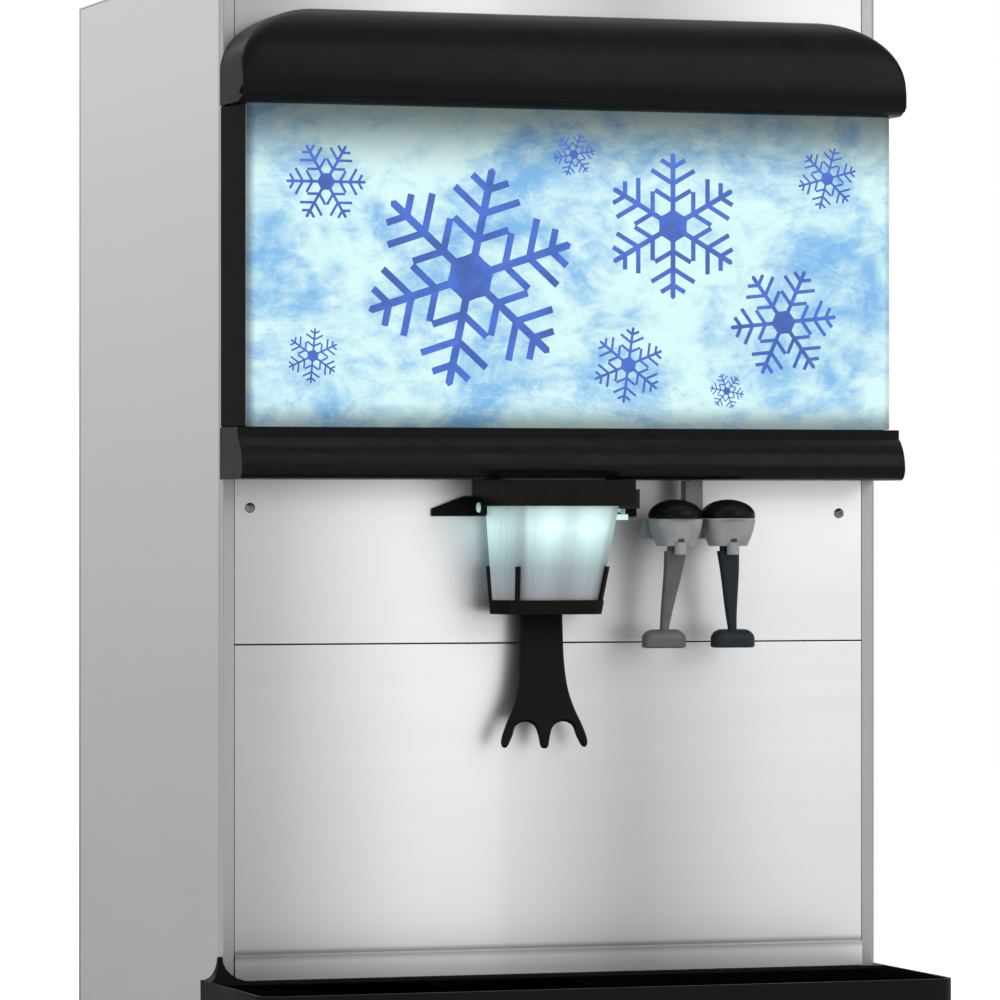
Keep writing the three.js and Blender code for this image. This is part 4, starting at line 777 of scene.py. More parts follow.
def lens_finish(colours):
    tree, shader, place = finish("sign_lens")
    glow = use_group(
        tree,
        ice_glow(),
        Vector=stretched(tree, place, (0.8, 1, 1.15)),
        Pale=(*colours.ice_pale, 1),
        Blue=(*colours.ice_blue, 1),
    )["Color"]
    low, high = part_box("sign_lens")
    axes = axes_of(tree, place)
    for axis, borders in LENS_BORDERS.items():
        index = "XYZ".index(axis)
        for end, reach, tone in borders:
            edge = (low, high)[end][index]
            inner = edge + reach * (1 - 2 * end)
            dim = spread_range(tree, axes[axis], edge, inner, tone, 1.0)
            glow = multiplied(tree, glow, dim)
    skin = use_group(tree, moulded_skin(), Vector=place, Fineness=900.0)
    fill_shader(
        tree,
        shader,
        Base_Color=multiplied(tree, glow, (0.12, 0.12, 0.12, 1)),
        Emission_Color=glow,
        Emission_Strength=0.95,
        Roughness=0.28,
        Specular_IOR_Level=0.25,
        Normal=bumped(tree, skin["Height"], 0.03),
    )


def print_finish(colours):
    tree, shader, place = finish("flake_print", "sign_lens")
    cloud = noise(tree, place, 30.0, 5.0, 0.65)
    deep, light = shade(colours.print_blue, 0.75), shade(colours.print_blue, 1.2)
    ink = blended(tree, spread_range(tree, cloud, 0.35, 0.65), deep, light)
    fill_shader(
        tree,
        shader,
        Base_Color=multiplied(tree, ink, (0.3, 0.3, 0.3, 1)),
        Emission_Color=ink,
        Emission_Strength=0.9,
        Roughness=0.35,
    )


# Clear chute from its foot to its top: painted shade, darker towards its foot, and a painted glow standing in
# for the sign's light
CLEAR_SHADE_TONES = [(0, 0.4), (0.13, 0.43), (0.33, 0.55), (0.53, 0.75), (0.73, 1.0), (0.93, 0.95), (1, 0.6)]
CLEAR_PAINTED_GLOW = [
    (0, (0.045, 0.048, 0.053)), (0.13, (0.065, 0.085, 0.11)), (0.33, (0.04, 0.11, 0.125)),
    (0.53, (0.11, 0.26, 0.26)), (0.73, (0.2, 0.37, 0.37)), (0.93, (0.14, 0.25, 0.25)),
    (1, (0.08, 0.14, 0.14)),
]
# Painted shade in soft bands across it: their pitch, and where the first one starts from the chute's middle
CLEAR_SHADE_BAND = 33 * MM
CLEAR_SHADE_BAND_START = -14 * MM
CLEAR_FOOT_TINT = (0.93, 0.96, 1.0, 1)
# Painted shade on its corners: where it starts and ends from the middle at the foot, and its shares of the
# tone
CLEAR_CORNER_SHADE = (26 * MM, 40 * MM)
CLEAR_CORNER_SHADE_FLARE = 8 * MM
CLEAR_CORNER_SHADE_SHARES = [(0, 1.0), (0.35, 0.62), (0.6, 0.62), (1, 1.0)]


def clear_finish(colours):
    """Clear moulding with a painted glow near its top, standing in for the sign's light, and painted shade
    towards its foot, in bands and on its corners.
    """
    tree, shader, place = finish("clear_plastic")
    axes = axes_of(tree, place)
    low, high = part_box("chute_shell")
    height = spread_range(tree, axes["Z"], low.z, high.z, way="LINEAR")
    # Painted shade in soft bands across the chute and on its corners
    pitch = 2 * math.pi / CLEAR_SHADE_BAND
    turn = maths(tree, "MULTIPLY_ADD", axes["X"], pitch, -pitch * (CHUTE_X + CLEAR_SHADE_BAND_START))
    painted_bands = maths(tree, "MULTIPLY_ADD", maths(tree, "COSINE", turn), 0.09, 0.93)
    aside = maths(tree, "ABSOLUTE", maths(tree, "SUBTRACT", axes["X"], CHUTE_X))
    aside = maths(tree, "MULTIPLY_ADD", height, -CLEAR_CORNER_SHADE_FLARE, aside)
    corner = ramp(tree, spread_range(tree, aside, *CLEAR_CORNER_SHADE, way="LINEAR"), CLEAR_CORNER_SHADE_SHARES)
    shadow = maths(tree, "MULTIPLY", painted_bands, corner)
    tint = blended(tree, height, CLEAR_FOOT_TINT, (*colours.clear_tint, 1))
    # Painted shade, darker towards the foot
    tint = multiplied(tree, tint, ramp(tree, height, CLEAR_SHADE_TONES))
    tone = soft_tone(tree, place, 30.0)
    fill_shader(
        tree,
        shader,
        Base_Color=multiplied(tree, tint, shadow),
        Metallic=0.0,
        Roughness=maths(tree, "MULTIPLY_ADD", tone, 0.08, 0.32),
        IOR=1.45,
        Transmission_Weight=0.15,
        # Painted glow standing in for the sign's light
        Emission_Color=multiplied(tree, ramp(tree, height, CLEAR_PAINTED_GLOW), shadow),
        Emission_Strength=0.86,
        Normal=bumped(tree, noise(tree, place, 90.0, 2.0), 0.02),
    )


def lamp_finish():
    tree, shader, place = finish("lamp_tube")
    axes = axes_of(tree, place)
    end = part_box("lamp_upper")[1].x
    aside = maths(tree, "ABSOLUTE", axes["X"])
    glow = spread_range(tree, aside, end - 30 * MM, end, 1.0, 0.35)
    fill_shader(
        tree,
        shader,
        Base_Color=blended(tree, noise(tree, place, 400.0), (0.86, 0.88, 0.9, 1), (0.95, 0.96, 0.97, 1)),
        Emission_Color=blended(tree, glow, (0.3, 0.3, 0.32, 1), (0.9, 0.97, 1.0, 1)),
        Emission_Strength=0.6,
        Roughness=0.25,
    )


def make_finishes():
    """Builds every material once."""
    if FINISHES:
        return
    colours = bpy.context.scene.dispenser_colours
    level = ((9, 9, 1600), (2, 2, 90))
    flat = ((9, 1600, 9), (2, 90, 2))
    steel_finish("stainless_front", colours.steel, 0.34, *level, FRONT_REFLECTION_BANDS, FRONT_SHADE_CLIMB)
    # Painted shade on the side panels: darker than the front, darker towards the bottom and darker on the
    # folded front corner
    steel_finish("stainless_side", colours.side_steel_shaded, 0.42, *level, rise=(0.6, 1.31), corner=0.65)
    # The top panel takes the side panels' painted shade
    steel_finish("stainless_top", colours.side_steel_shaded, 0.38, *flat, slot="stainless_side")
    black = colours.black
    plastic_finish("black_gloss", black, 0.3, 1100.0, 0.05, 0.2, 0.01, shine=0.07)
    plastic_finish("black_plastic", black, 0.42, 1400.0, 0.14, 0.2, 0.01, shine=0.07)
    plastic_finish("lever_black", shade(black, 0.8)[:3], 0.4, 1500.0, 0.12, 0.15, 0.01, shine=0.07)
    plastic_finish(
        "lever_blue", (0.016, 0.023, 0.029), 0.4, 1500.0, 0.12, 0.15, 0.01, shine=0.12, slot="lever_black"
    )
    # Painted light: the left lever in grey stands for light from the left on a black lever like the right one
    plastic_finish("lever_grey", (0.11, 0.108, 0.105), 0.4, 1500.0, 0.12, 0.15, 0.02, slot="valve_grey")
    plastic_finish("switch_black", shade(black, 1.2)[:3], 0.45, 1500.0, 0.14, 0.2, 0.02, shine=0.15)
    plastic_finish("tray_black", black, 0.5, 1000.0, 0.2, 0.2, 0.01, shine=0.07)
    plastic_finish(
        "rest_black", shade(black, 0.4)[:3], 0.6, 1000.0, 0.2, 0.0, 0.0, shine=0.0, slot="tray_black"
    )
    plastic_finish("foot_rubber", (0.012, 0.012, 0.012), 0.8, 900.0, 0.3, shine=0.15)
    plastic_finish("white_liner", (0.76, 0.78, 0.77), 0.42, 700.0, 0.08, 0.1, worn=1.0, mottle=0.02)
    plastic_finish("white_plastic", (0.8, 0.81, 0.8), 0.38, 900.0, 0.08, 0.1, worn=1.0, mottle=0.03)
    plastic_finish("white_painted_sheet", (0.84, 0.85, 0.85), 0.5, 500.0, 0.12, 0.1, worn=0.9, mottle=0.03)
    plastic_finish("valve_grey", (0.3, 0.31, 0.32), 0.38, 1200.0, 0.12, wear=0.3, dust=0.03, worn=1.4)
    metal_finish("leg_steel", (0.5, 0.5, 0.51), 0.3, 900.0, 0.04, mottle=(0.96, 1.04))
    metal_finish("cast_housing", (0.3, 0.31, 0.32), 0.55, 420.0, 0.6, 0.8)
    metal_finish("dark_metal", (0.035, 0.038, 0.042), 0.5, 500.0, 0.3, 0.3)
    metal_finish("bronze_bush", (0.52, 0.33, 0.13), 0.35, 240.0, 0.12)
    metal_finish("bright_steel", (0.68, 0.68, 0.69), 0.24, 300.0, 0.06)
    metal_finish("screw_steel", (0.16, 0.16, 0.165), 0.34, 300.0, 0.06, slot="bright_steel")
    galvanised_finish()
    foam_finish()
    lens_finish(colours)
    print_finish(colours)
    clear_finish(colours)
    lamp_finish()


# Copies placed by geometry nodes: the carrier's points hold a size and a turn each
TREES = {}


def copies_tree():
    """Puts a copy of an object on every point, turned and sized by the point's attributes."""
    if "copies" in TREES:
        return TREES["copies"]
    tree = bpy.data.node_groups.new("copies_on_points", "GeometryNodeTree")
    for name, kind in (
        ("Geometry", "NodeSocketGeometry"),
        ("Copy", "NodeSocketObject"),
        ("Size", "NodeSocketFloat"),
        ("Material", "NodeSocketMaterial"),
    ):
        tree.interface.new_socket(name, in_out="INPUT", socket_type=kind)
    tree.interface.new_socket("Geometry", in_out="OUTPUT", socket_type="NodeSocketGeometry")
    inside = tree.nodes.new("NodeGroupInput").outputs
    result = tree.nodes.new("NodeGroupOutput")
    copy = add(tree, "GeometryNodeObjectInfo", Object=inside["Copy"]).outputs["Geometry"]
    turn = add(tree, "GeometryNodeInputNamedAttribute", {"data_type": "FLOAT_VECTOR"}, Name="turn").outputs[0]
    size = add(tree, "GeometryNodeInputNamedAttribute", {"data_type": "FLOAT"}, Name="size").outputs[0]
    placed = add(
        tree,
        "GeometryNodeInstanceOnPoints",
        Points=inside["Geometry"],
        Instance=copy,
        Rotation=add(tree, "FunctionNodeEulerToRotation", n0=turn).outputs[0],
        Scale=maths(tree, "MULTIPLY", size, inside["Size"]),
    )
    real = add(tree, "GeometryNodeRealizeInstances", Geometry=placed.outputs[0])
    painted = add(tree, "GeometryNodeSetMaterial", Geometry=real.outputs[0], Material=inside["Material"])
    tree.links.new(painted.outputs[0], result.inputs[0])
    TREES["copies"] = tree
    return tree


def set_input(modifier, name, value):
    for item in modifier.node_group.interface.items_tree:
        if item.item_type == "SOCKET" and item.in_out == "INPUT" and item.name == name:
            modifier[item.identifier] = value


def copies(name, pattern, spots, size, finish_name):
    """One plain mesh of copies of a pattern. A spot is a place, a turn in radians and a share of the size."""
    mesh = bpy.data.meshes.new(name)
    mesh.from_pydata([spot[0] for spot in spots], [], [])
    mesh.attributes.new("turn", "FLOAT_VECTOR", "POINT")
    mesh.attributes.new("size", "FLOAT", "POINT")
    for i, (place, turn, size_share) in enumerate(spots):
        mesh.attributes["turn"].data[i].vector = turn
        mesh.attributes["size"].data[i].value = size_share
    obj = bpy.data.objects.new(name, mesh)
    bpy.context.scene.collection.objects.link(obj)
    modifier = obj.modifiers.new("copies", "NODES")
    modifier.node_group = copies_tree()
    set_input(modifier, "Copy", pattern)
    set_input(modifier, "Size", size)
    set_input(modifier, "Material", FINISHES[finish_name])
    bake_modifiers(obj)
    for attribute in ("turn", "size"):
        found = obj.data.attributes.get(attribute)
        if found:
            obj.data.attributes.remove(found)
    drop(pattern)
    return obj


# A screw head as shares of its width: its height, its rim's height, its cross and the level of its floor
HEAD_RISE_SHARE = 0.32
HEAD_RIM_SHARE = 0.1
HEAD_CROSS_SHARES = (0.27, 0.055)
HEAD_CUT_SHARE = 0.16
# Angles of the rings up its crown
HEAD_ANGLES = (0.3, 0.6, 0.9, 1.2, 1.4)
HEAD_EDGE = 0.12 * MM
# Share of a full turn from one screw's cross to the next
HEAD_TURN_SHARE = 0.37
# Screws down the back panel: from its side edges, from its ends, and the number of rows
BACK_INSET = 9 * MM
BACK_MARGIN = 35 * MM
BACK_ROWS = 4


def back_screw_places():
    """Places across and up of the screws that lie flush in the back panel."""
    low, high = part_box("back_panel")
    step = (high.z - low.z - 2 * BACK_MARGIN) / (BACK_ROWS - 1)
    levels = [low.z + BACK_MARGIN + row * step for row in range(BACK_ROWS)]
    return [(side * (high.x - BACK_INSET), z) for z in levels for side in (-1, 1)]


# Ways that a screw head can face, as turns of a head that stands up along Z
FACING = {"front": (math.pi / 2, 0, 0), "back": (-math.pi / 2, 0, 0)}


def screw_head():
    """A pan head with a cross recess, one unit across."""
    crown = HEAD_RISE_SHARE - HEAD_RIM_SHARE
    profile = [(0, 0), (0.5, 0), (0.5, HEAD_RIM_SHARE)]
    profile += [(0.5 * math.cos(a), HEAD_RIM_SHARE + crown * math.sin(a)) for a in HEAD_ANGLES]
    profile += [(0, HEAD_RISE_SHARE)]
    reach, arm = HEAD_CROSS_SHARES
    cross = [
        prism(oblong(-x, x, -y, y), "z", HEAD_CUT_SHARE, 0.5) for x, y in ((reach, arm), (arm, reach))
    ]
    return carved("screw_head", turned(profile, "z", sides=24), cuts=cross)


def screws(name, spots, size, finish_name="bright_steel"):
    """Screw heads at places, each with the way it faces. Their crosses stand at different turns."""
    placed = []
    for i, (place, facing) in enumerate(spots):
        spin = Euler((0, 0, 2 * math.pi * HEAD_TURN_SHARE * i)).to_matrix()
        turn = (Euler(FACING[facing]).to_matrix() @ spin).to_euler()
        placed.append((place, tuple(turn), 1.0))
    obj = copies(name, screw_head(), placed, size, finish_name)
    dressed(obj, FINISHES[finish_name], body="cabinet", edge=HEAD_EDGE, segments=1, angle=40)


# Stage
def seen_directly(tree):
    """One for camera, glossy and transmission rays, and nothing for the rest."""
    path = tree.nodes.new("ShaderNodeLightPath").outputs
    seen = maths(tree, "MAXIMUM", path["Is Camera Ray"], path["Is Glossy Ray"])
    return maths(tree, "MAXIMUM", seen, path["Is Transmission Ray"])


class DISPENSER_OT_stage(bpy.types.Operator):
    """Lays the floor, hangs the lights and sets the camera at the photograph's angle"""

    bl_idname = "dispenser.stage"
    bl_label = "Stage and camera"

    # The camera's place and aim, found from the cabinet's edges
    place = Vector((-1.4891, -4.5150, 0.5420))
    yaw = math.radians(18.31)
    pitch = math.radians(0.20)
    focal_length = 205.5
    sensor_width = 36
    view_reach = 60
    floor_reach = 40.0
    floor_rings = 8
    # Light that the floor adds for the lens and for shiny things, and the sky's strength for the rest
    floor_lift = 0.62
    sky_light = 0.62
    # Each light's name, place, width and power, and the point that all of them face
    softboxes = (
        ("key_softbox", (2.2, -3.6, 2.6), 2.6, 60),
        ("fill_softbox", (-3.4, -2.2, 1.8), 2.4, 22),
        ("top_softbox", (0.2, 0.4, 3.6), 2.6, 34),
    )
    light_target = Vector((0, 0, 0.5))

    def execute(self, context):
        self.camera(context)
        self.backdrop(context)
        self.lights(context)
        self.world(context)
        context.scene.view_settings.view_transform = "Standard"
        return {"FINISHED"}

    def camera(self, context):
        data = bpy.data.cameras.new("photo_camera")
        data.lens = self.focal_length
        data.sensor_width = self.sensor_width
        data.clip_end = self.view_reach
        camera = bpy.data.objects.new("photo_camera", data)
        aim = Vector(
            (
                math.sin(self.yaw) * math.cos(self.pitch),
                math.cos(self.yaw) * math.cos(self.pitch),
                math.sin(self.pitch),
            )
        )
        camera.location = self.place
        camera.rotation_euler = aim.to_track_quat("-Z", "Y").to_euler()
        context.scene.collection.objects.link(camera)
        context.scene.camera = camera

    def backdrop(self, context):
        """A flat round floor, with its rings closer together under the machine."""
        radii = [self.floor_reach * (ring / self.floor_rings) ** 2 for ring in range(self.floor_rings + 1)]
        floor = turned([(radius, 0) for radius in radii], "z", sides=96)
        if floor.faces[0].normal.z < 0:
            bmesh.ops.reverse_faces(floor, faces=floor.faces)
        obj = as_object("studio_floor", floor)
        for face in obj.data.polygons:
            face.use_smooth = True
        obj.data.materials.append(self.floor_material())

    def floor_material(self):
        """Pale floor that looks white to the lens and to shiny things, and keeps shadows."""
        made = bpy.data.materials.new("studio_floor")
        made.use_nodes = True
        tree = made.node_tree
        tree.nodes.clear()
        ending = tree.nodes.new("ShaderNodeOutputMaterial")
        place = tree.nodes.new("ShaderNodeTexCoord").outputs["Object"]
        grain = noise(tree, place, 60.0, 4.0)
        tone = blended(tree, grain, (0.6, 0.6, 0.6, 1), (0.62, 0.62, 0.62, 1))
        matt = add(tree, "ShaderNodeBsdfDiffuse", Color=tone)
        glow = maths(tree, "MULTIPLY", seen_directly(tree), self.floor_lift)
        lift = add(tree, "ShaderNodeEmission", Color=(1, 1, 1, 1), Strength=glow)
        both = add(tree, "ShaderNodeAddShader", n0=matt, n1=lift)
        tree.links.new(both.outputs[0], ending.inputs[0])
        return made

    def lights(self, context):
        """A broad key from the front right, a weaker fill from the left and a top light."""
        for name, place, size, power in self.softboxes:
            data = bpy.data.lights.new(name, "AREA")
            data.shape = "SQUARE"
            data.size = size
            data.energy = power
            light = bpy.data.objects.new(name, data)
            light.location = place
            aim = self.light_target - light.location
            light.rotation_euler = aim.to_track_quat("-Z", "Y").to_euler()
            context.scene.collection.objects.link(light)

    def world(self, context):
        world = bpy.data.worlds.new("studio_world")
        world.use_nodes = True
        tree = world.node_tree
        tree.nodes.clear()
        ending = tree.nodes.new("ShaderNodeOutputWorld")
        strength = spread_range(tree, seen_directly(tree), 0.0, 1.0, self.sky_light, 1.0, "LINEAR")
        sky = add(tree, "ShaderNodeBackground", Color=(1, 1, 1, 1), Strength=strength)
        tree.links.new(sky.outputs[0], ending.inputs[0])
        context.scene.world = world


# Cabinet
class DISPENSER_OT_panels(bpy.types.Operator):
    """Makes the folded steel panels of the cabinet"""

    bl_idname = "dispenser.panels"
    bl_label = "Cabinet panels"

    # How far the switch's plate laps over its hole in the side panel
    switch_lap = (1.7 * MM, 2.2 * MM)
    overrun = 10 * MM

    def execute(self, context):
        sizes = context.scene.dispenser_cabinet
        for name, side in (("side_panel_left", -1), ("side_panel_right", 1)):
            self.side_panel(name, side, sizes)
        plain = {
            "front_top_panel": "stainless_front",
            "upper_splash_panel": "stainless_front",
            "lower_splash_panel": "stainless_front",
            "top_panel": "stainless_top",
            "base_pan": "galvanised_steel",
        }
        for node, finish_name in plain.items():
            dressed(refined(node), FINISHES[finish_name], node, edge=sizes.edge)
        hole = sizes.screw_head / 2 + GAP
        span = (BACK - 2 * SHEET, BACK + SHEET)
        holes = [rod(hole, *span, "y", (x, 0, z)) for x, z in back_screw_places()]
        back = reworked(refined("back_panel"), cuts=holes)
        dressed(back, FINISHES["stainless_side"], "back_panel", edge=sizes.edge, angle=40)
        return {"FINISHED"}

    def side_panel(self, name, side, sizes):
        low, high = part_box(name)
        outer = max(abs(low.x), abs(high.x))
        inner = min(abs(low.x), abs(high.x))
        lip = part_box("upper_splash_panel")[1].x + GAP
        section = [
            (outer, low.y),
            (outer, high.y),
            (inner, high.y),
            (inner, high.y - SHEET),
            (outer - SHEET, high.y - SHEET),
            (outer - SHEET, low.y + SHEET),
            (lip, low.y + SHEET),
            (lip, low.y),
        ]
        bend = sizes.bend
        outline = rounded(section, [bend, bend, 0, 0, bend - SHEET, bend - SHEET, 0, 0])
        wall = prism([(side * x, y) for x, y in outline], "z", low.z, high.z)
        cuts = []
        if side > 0:
            bezel_low, bezel_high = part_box("switch_bezel")
            lap_y, lap_z = self.switch_lap
            cuts = [
                block(
                    (outer - self.overrun, bezel_low.y + lap_y, bezel_low.z + lap_z),
                    (outer + self.overrun, bezel_high.y - lap_y, bezel_high.z - lap_z),
                )
            ]
        panel = carved(name + "_dressed", wall, cuts=cuts)
        dressed(panel, FINISHES["stainless_side"], name, edge=sizes.edge, angle=40)


class DISPENSER_OT_legs(bpy.types.Operator):
    """Makes the four legs and their levelling feet"""

    bl_idname = "dispenser.legs"
    bl_label = "Legs and feet"

    stem = 6 * MM
    stem_edge = 1 * MM
    flange = 4 * MM
    fillet = 5 * MM
    # Shares of the leg's plate, and of the sole
    shoulder_share = 0.78
    ankle_share = 0.6
    neck_share = 0.59
    # Rings round the ankle: how far out, and how far up from the leg's foot, in mm
    ankle_rings = ((-1.5, 0), (0, 1.5), (0.3, 12), (-0.5, 13), (-0.5, 14.5), (0.6, 15.5))
    # Chamfers round the plate's lower and upper edge
    plate_edges = (0.8 * MM, 0.6 * MM)
    sole_edge = (2 * MM, 1.5 * MM)
    sole_side = 5 * MM
    sole_slope = 4 * MM
    neck_foot = 13 * MM
    # Rings round the foot's neck: how far in, and how far down from its top, in mm
    neck_rings = ((0, 7), (1, 6), (1, 1), (2, 0))

    def execute(self, context):
        for end in ("front", "rear"):
            for side in ("left", "right"):
                self.leg(f"leg_{end}_{side}", f"foot_{end}_{side}")
        return {"FINISHED"}

    def leg(self, leg_node, foot_node):
        low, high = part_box(leg_node)
        foot_low, foot_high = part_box(foot_node)
        centre = ((low.x + high.x) / 2, (low.y + high.y) / 2, 0)
        plate = (high.x - low.x) / 2
        under = high.z - self.flange
        shoulder = plate * self.shoulder_share
        ankle = plate * self.ankle_share
        bore = self.stem + GAP
        edge, rim = self.plate_edges
        profile = [(0, foot_high.z + GAP), (bore, foot_high.z + GAP), (bore, low.z)]
        profile += [(ankle + out * MM, low.z + up * MM) for out, up in self.ankle_rings]
        profile += [(shoulder, under - self.fillet)]
        bend = (shoulder + self.fillet, under - self.fillet)
        profile += arc(bend, self.fillet, math.pi, math.pi / 2, 5)
        profile += [(plate - edge, under), (plate, under + edge)]
        profile += [(plate, high.z - rim), (plate - rim, high.z), (0, high.z)]
        leg = as_object(leg_node + "_dressed", turned(profile, "z", centre))
        dressed(leg, FINISHES["leg_steel"], leg_node)
        sole = self.sole(foot_low, foot_high, low.z - GAP)
        foot = as_object(foot_node + "_dressed", turned(sole, "z", centre))
        dressed(foot, FINISHES["foot_rubber"], foot_node)

    def sole(self, low, high, top):
        """Profile of a foot from under its sole, over its neck and up its stem."""
        radius = (high.x - low.x) / 2
        neck = radius * self.neck_share
        inset, rise = self.sole_edge
        bend = (neck + self.sole_slope, self.sole_side)
        profile = [(0, low.z), (radius - inset, low.z), (radius, low.z + rise), (radius, self.sole_side)]
        profile += arc(bend, radius - neck - self.sole_slope, 0, math.pi / 2, 5)
        profile += [(neck, self.neck_foot)]
        profile += [(neck - inward * MM, top - down * MM) for inward, down in self.neck_rings]
        profile += [(self.stem, top), (self.stem, high.z - self.stem_edge)]
        return profile + [(self.stem - self.stem_edge, high.z), (0, high.z)]


class DISPENSER_OT_screws(bpy.types.Operator):
    """Sets the screws of the panels, the gearbox and the control box"""

    bl_idname = "dispenser.screws"
    bl_label = "Screws"

    # Measured from the panels' own edges
    splash_places = ((-1, 12.6 * MM, 22.4 * MM), (1, 19.8 * MM, 26.5 * MM))
    # Pieces with a screw in each corner, how far in, and the heads' size as a share of the panels'
    inner_insets = (("gearbox", 9 * MM), ("control_box_cover", 6 * MM))
    inner_share = 0.8

    def execute(self, context):
        size = context.scene.dispenser_cabinet.screw_head
        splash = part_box("upper_splash_panel")[1].x
        spots = [
            ((side * (splash - inset), FRONT, SIGN_FOOT - drop), "front")
            for side, inset, drop in self.splash_places
        ]
        screws("splash_screws", spots, size, "screw_steel")
        seat = BACK - HEAD_RISE_SHARE * size
        screws("panel_screws", [((x, seat, z), "back") for x, z in back_screw_places()], size)
        self.inner_screws(size)
        return {"FINISHED"}

    def inner_screws(self, size):
        spots = []
        for node, inset in self.inner_insets:
            low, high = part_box(node)
            columns, rows = (low.x + inset, high.x - inset), (low.z + inset, high.z - inset)
            spots += [((x, low.y, z), "front") for x in columns for z in rows]
        screws("inner_screws", spots, size * self.inner_share)


class DISPENSER_OT_lid(bpy.types.Operator):
    """Makes the lift-off lid over the hopper"""

    bl_idname = "dispenser.lid"
    bl_label = "Hopper lid"

    def execute(self, context):
        sizes = context.scene.dispenser_cabinet
        dressed(
            refined("hopper_lid"), FINISHES["black_gloss"], "hopper_lid", edge=sizes.moulded_edge, angle=25
        )
        return {"FINISHED"}


# Sign
class DISPENSER_OT_sign_hood(bpy.types.Operator):
    """Moulds the sign's domed hood as one thin shell"""

    bl_idname = "dispenser.sign_hood"
    bl_label = "Sign hood"

    across_steps = 16
    lip_steps = 7
    bow_steps = 18
    back_steps = 4
    level_steps = 12

    def execute(self, context):
        sizes = context.scene.dispenser_sign
        low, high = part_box("sign_hood")
        line = self.profile(low, high, sizes)
        shell = bmesh.new()
        grid = [
            [shell.verts.new((x, y, self.lowered(x, z, low, high, sizes))) for y, z in line]
            for x in self.columns(high, sizes)
        ]
        for column, after in zip(grid, grid[1:]):
            for j in range(len(line) - 1):
                shell.faces.new((column[j], after[j], after[j + 1], column[j + 1]))
        for column in (grid[0], grid[-1]):
            foot = shell.verts.new((column[0].co.x, high.y, low.z))
            shell.faces.new([*column, foot])
        bmesh.ops.recalc_face_normals(shell, faces=shell.faces)
        hood = as_object("sign_hood_dressed", shell)
        self.face_up(hood)
        wall = hood.modifiers.new("wall", "SOLIDIFY")
        wall.thickness = sizes.wall
        wall.offset = -1
        bake_modifiers(hood)
        dressed(hood, FINISHES["black_gloss"], "sign_hood", edge=1.0 * MM, angle=35)
        return {"FINISHED"}

    def columns(self, high, sizes):
        """Places across, closer together towards the ends."""
        bow = [
            high.x - sizes.shoulder_width * (1 - math.cos(math.pi / 2 * i / self.across_steps))
            for i in range(self.across_steps + 1)
        ]
        inner = bow[-1]
        level = [inner - 2 * inner * i / self.level_steps for i in range(1, self.level_steps)]
        return bow + level + [-x for x in reversed(bow)]

    def profile(self, low, high, sizes):
        """Depth and height from the lower edge, out round the lip, over the crown and back."""
        radius = (sizes.overhang**2 + sizes.lip**2) / (2 * sizes.overhang)
        belly = low.z + sizes.lip
        start = math.atan2(-sizes.lip, sizes.overhang - radius)
        line = arc((low.y + radius, belly), radius, start, -math.pi, self.lip_steps)[:-1]
        crown = high.y - sizes.crown_setback
        for i in range(self.bow_steps + 1):
            angle = math.pi / 2 * i / self.bow_steps
            y = crown - (crown - low.y) * math.cos(angle)
            line.append((y, belly + (high.z - belly) * math.sin(angle)))
        for i in range(1, self.back_steps + 1):
            away = i / self.back_steps
            line.append((crown + sizes.crown_setback * away, high.z - sizes.crown_fall * away**2))
        return line

    def lowered(self, x, z, low, high, sizes):
        """A height brought down under the round shoulders, with the two curves' meeting softened."""
        aside = max(0, abs(x) - (high.x - sizes.shoulder_width)) / sizes.shoulder_width
        drops = (high.z - z, sizes.shoulder_drop * (1 - math.sqrt(max(0, 1 - aside**2))))
        drop_total = sum(drop**sizes.crease for drop in drops) ** (1 / sizes.crease)
        return max(min(z, low.z + sizes.wall), high.z - drop_total)

    def face_up(self, hood):
        """An open shell has no inside, so its crown decides which way is out."""
        crown = max(hood.data.polygons, key=lambda face: face.center.z)
        if crown.normal.z < 0:
            hood.data.flip_normals()


class DISPENSER_OT_sign_frame(bpy.types.Operator):
    """Makes the rail under the lens and the frames at its ends"""

    bl_idname = "dispenser.sign_frame"
    bl_label = "Sign rail and frames"

    def execute(self, context):
        edge = context.scene.dispenser_cabinet.moulded_edge
        for node in ("sign_rail", "sign_frame_left", "sign_frame_right"):
            dressed(refined(node), FINISHES["black_gloss"], node, edge=edge, angle=35)
        return {"FINISHED"}


# Flakes on the lens: place across and up as shares of the lens, width in mm, turn in degrees
FLAKES = [
    (0.34, 0.47, 178, 12),
    (0.655, 0.64, 118, 0),
    (0.83, 0.34, 92, 24),
    (0.585, 0.2, 62, 8),
    (0.12, 0.76, 66, 30),
    (0.9, 0.8, 52, 15),
    (0.1, 0.22, 44, 5),
    (0.5, 0.86, 36, 20),
    (0.74, 0.12, 30, 40),
]
# Side twigs of a flake's arm: place and length as shares of the arm
TWIG_SHARES = [(0.34, 0.3), (0.58, 0.36), (0.8, 0.2)]
FLAKE_ARMS = 6


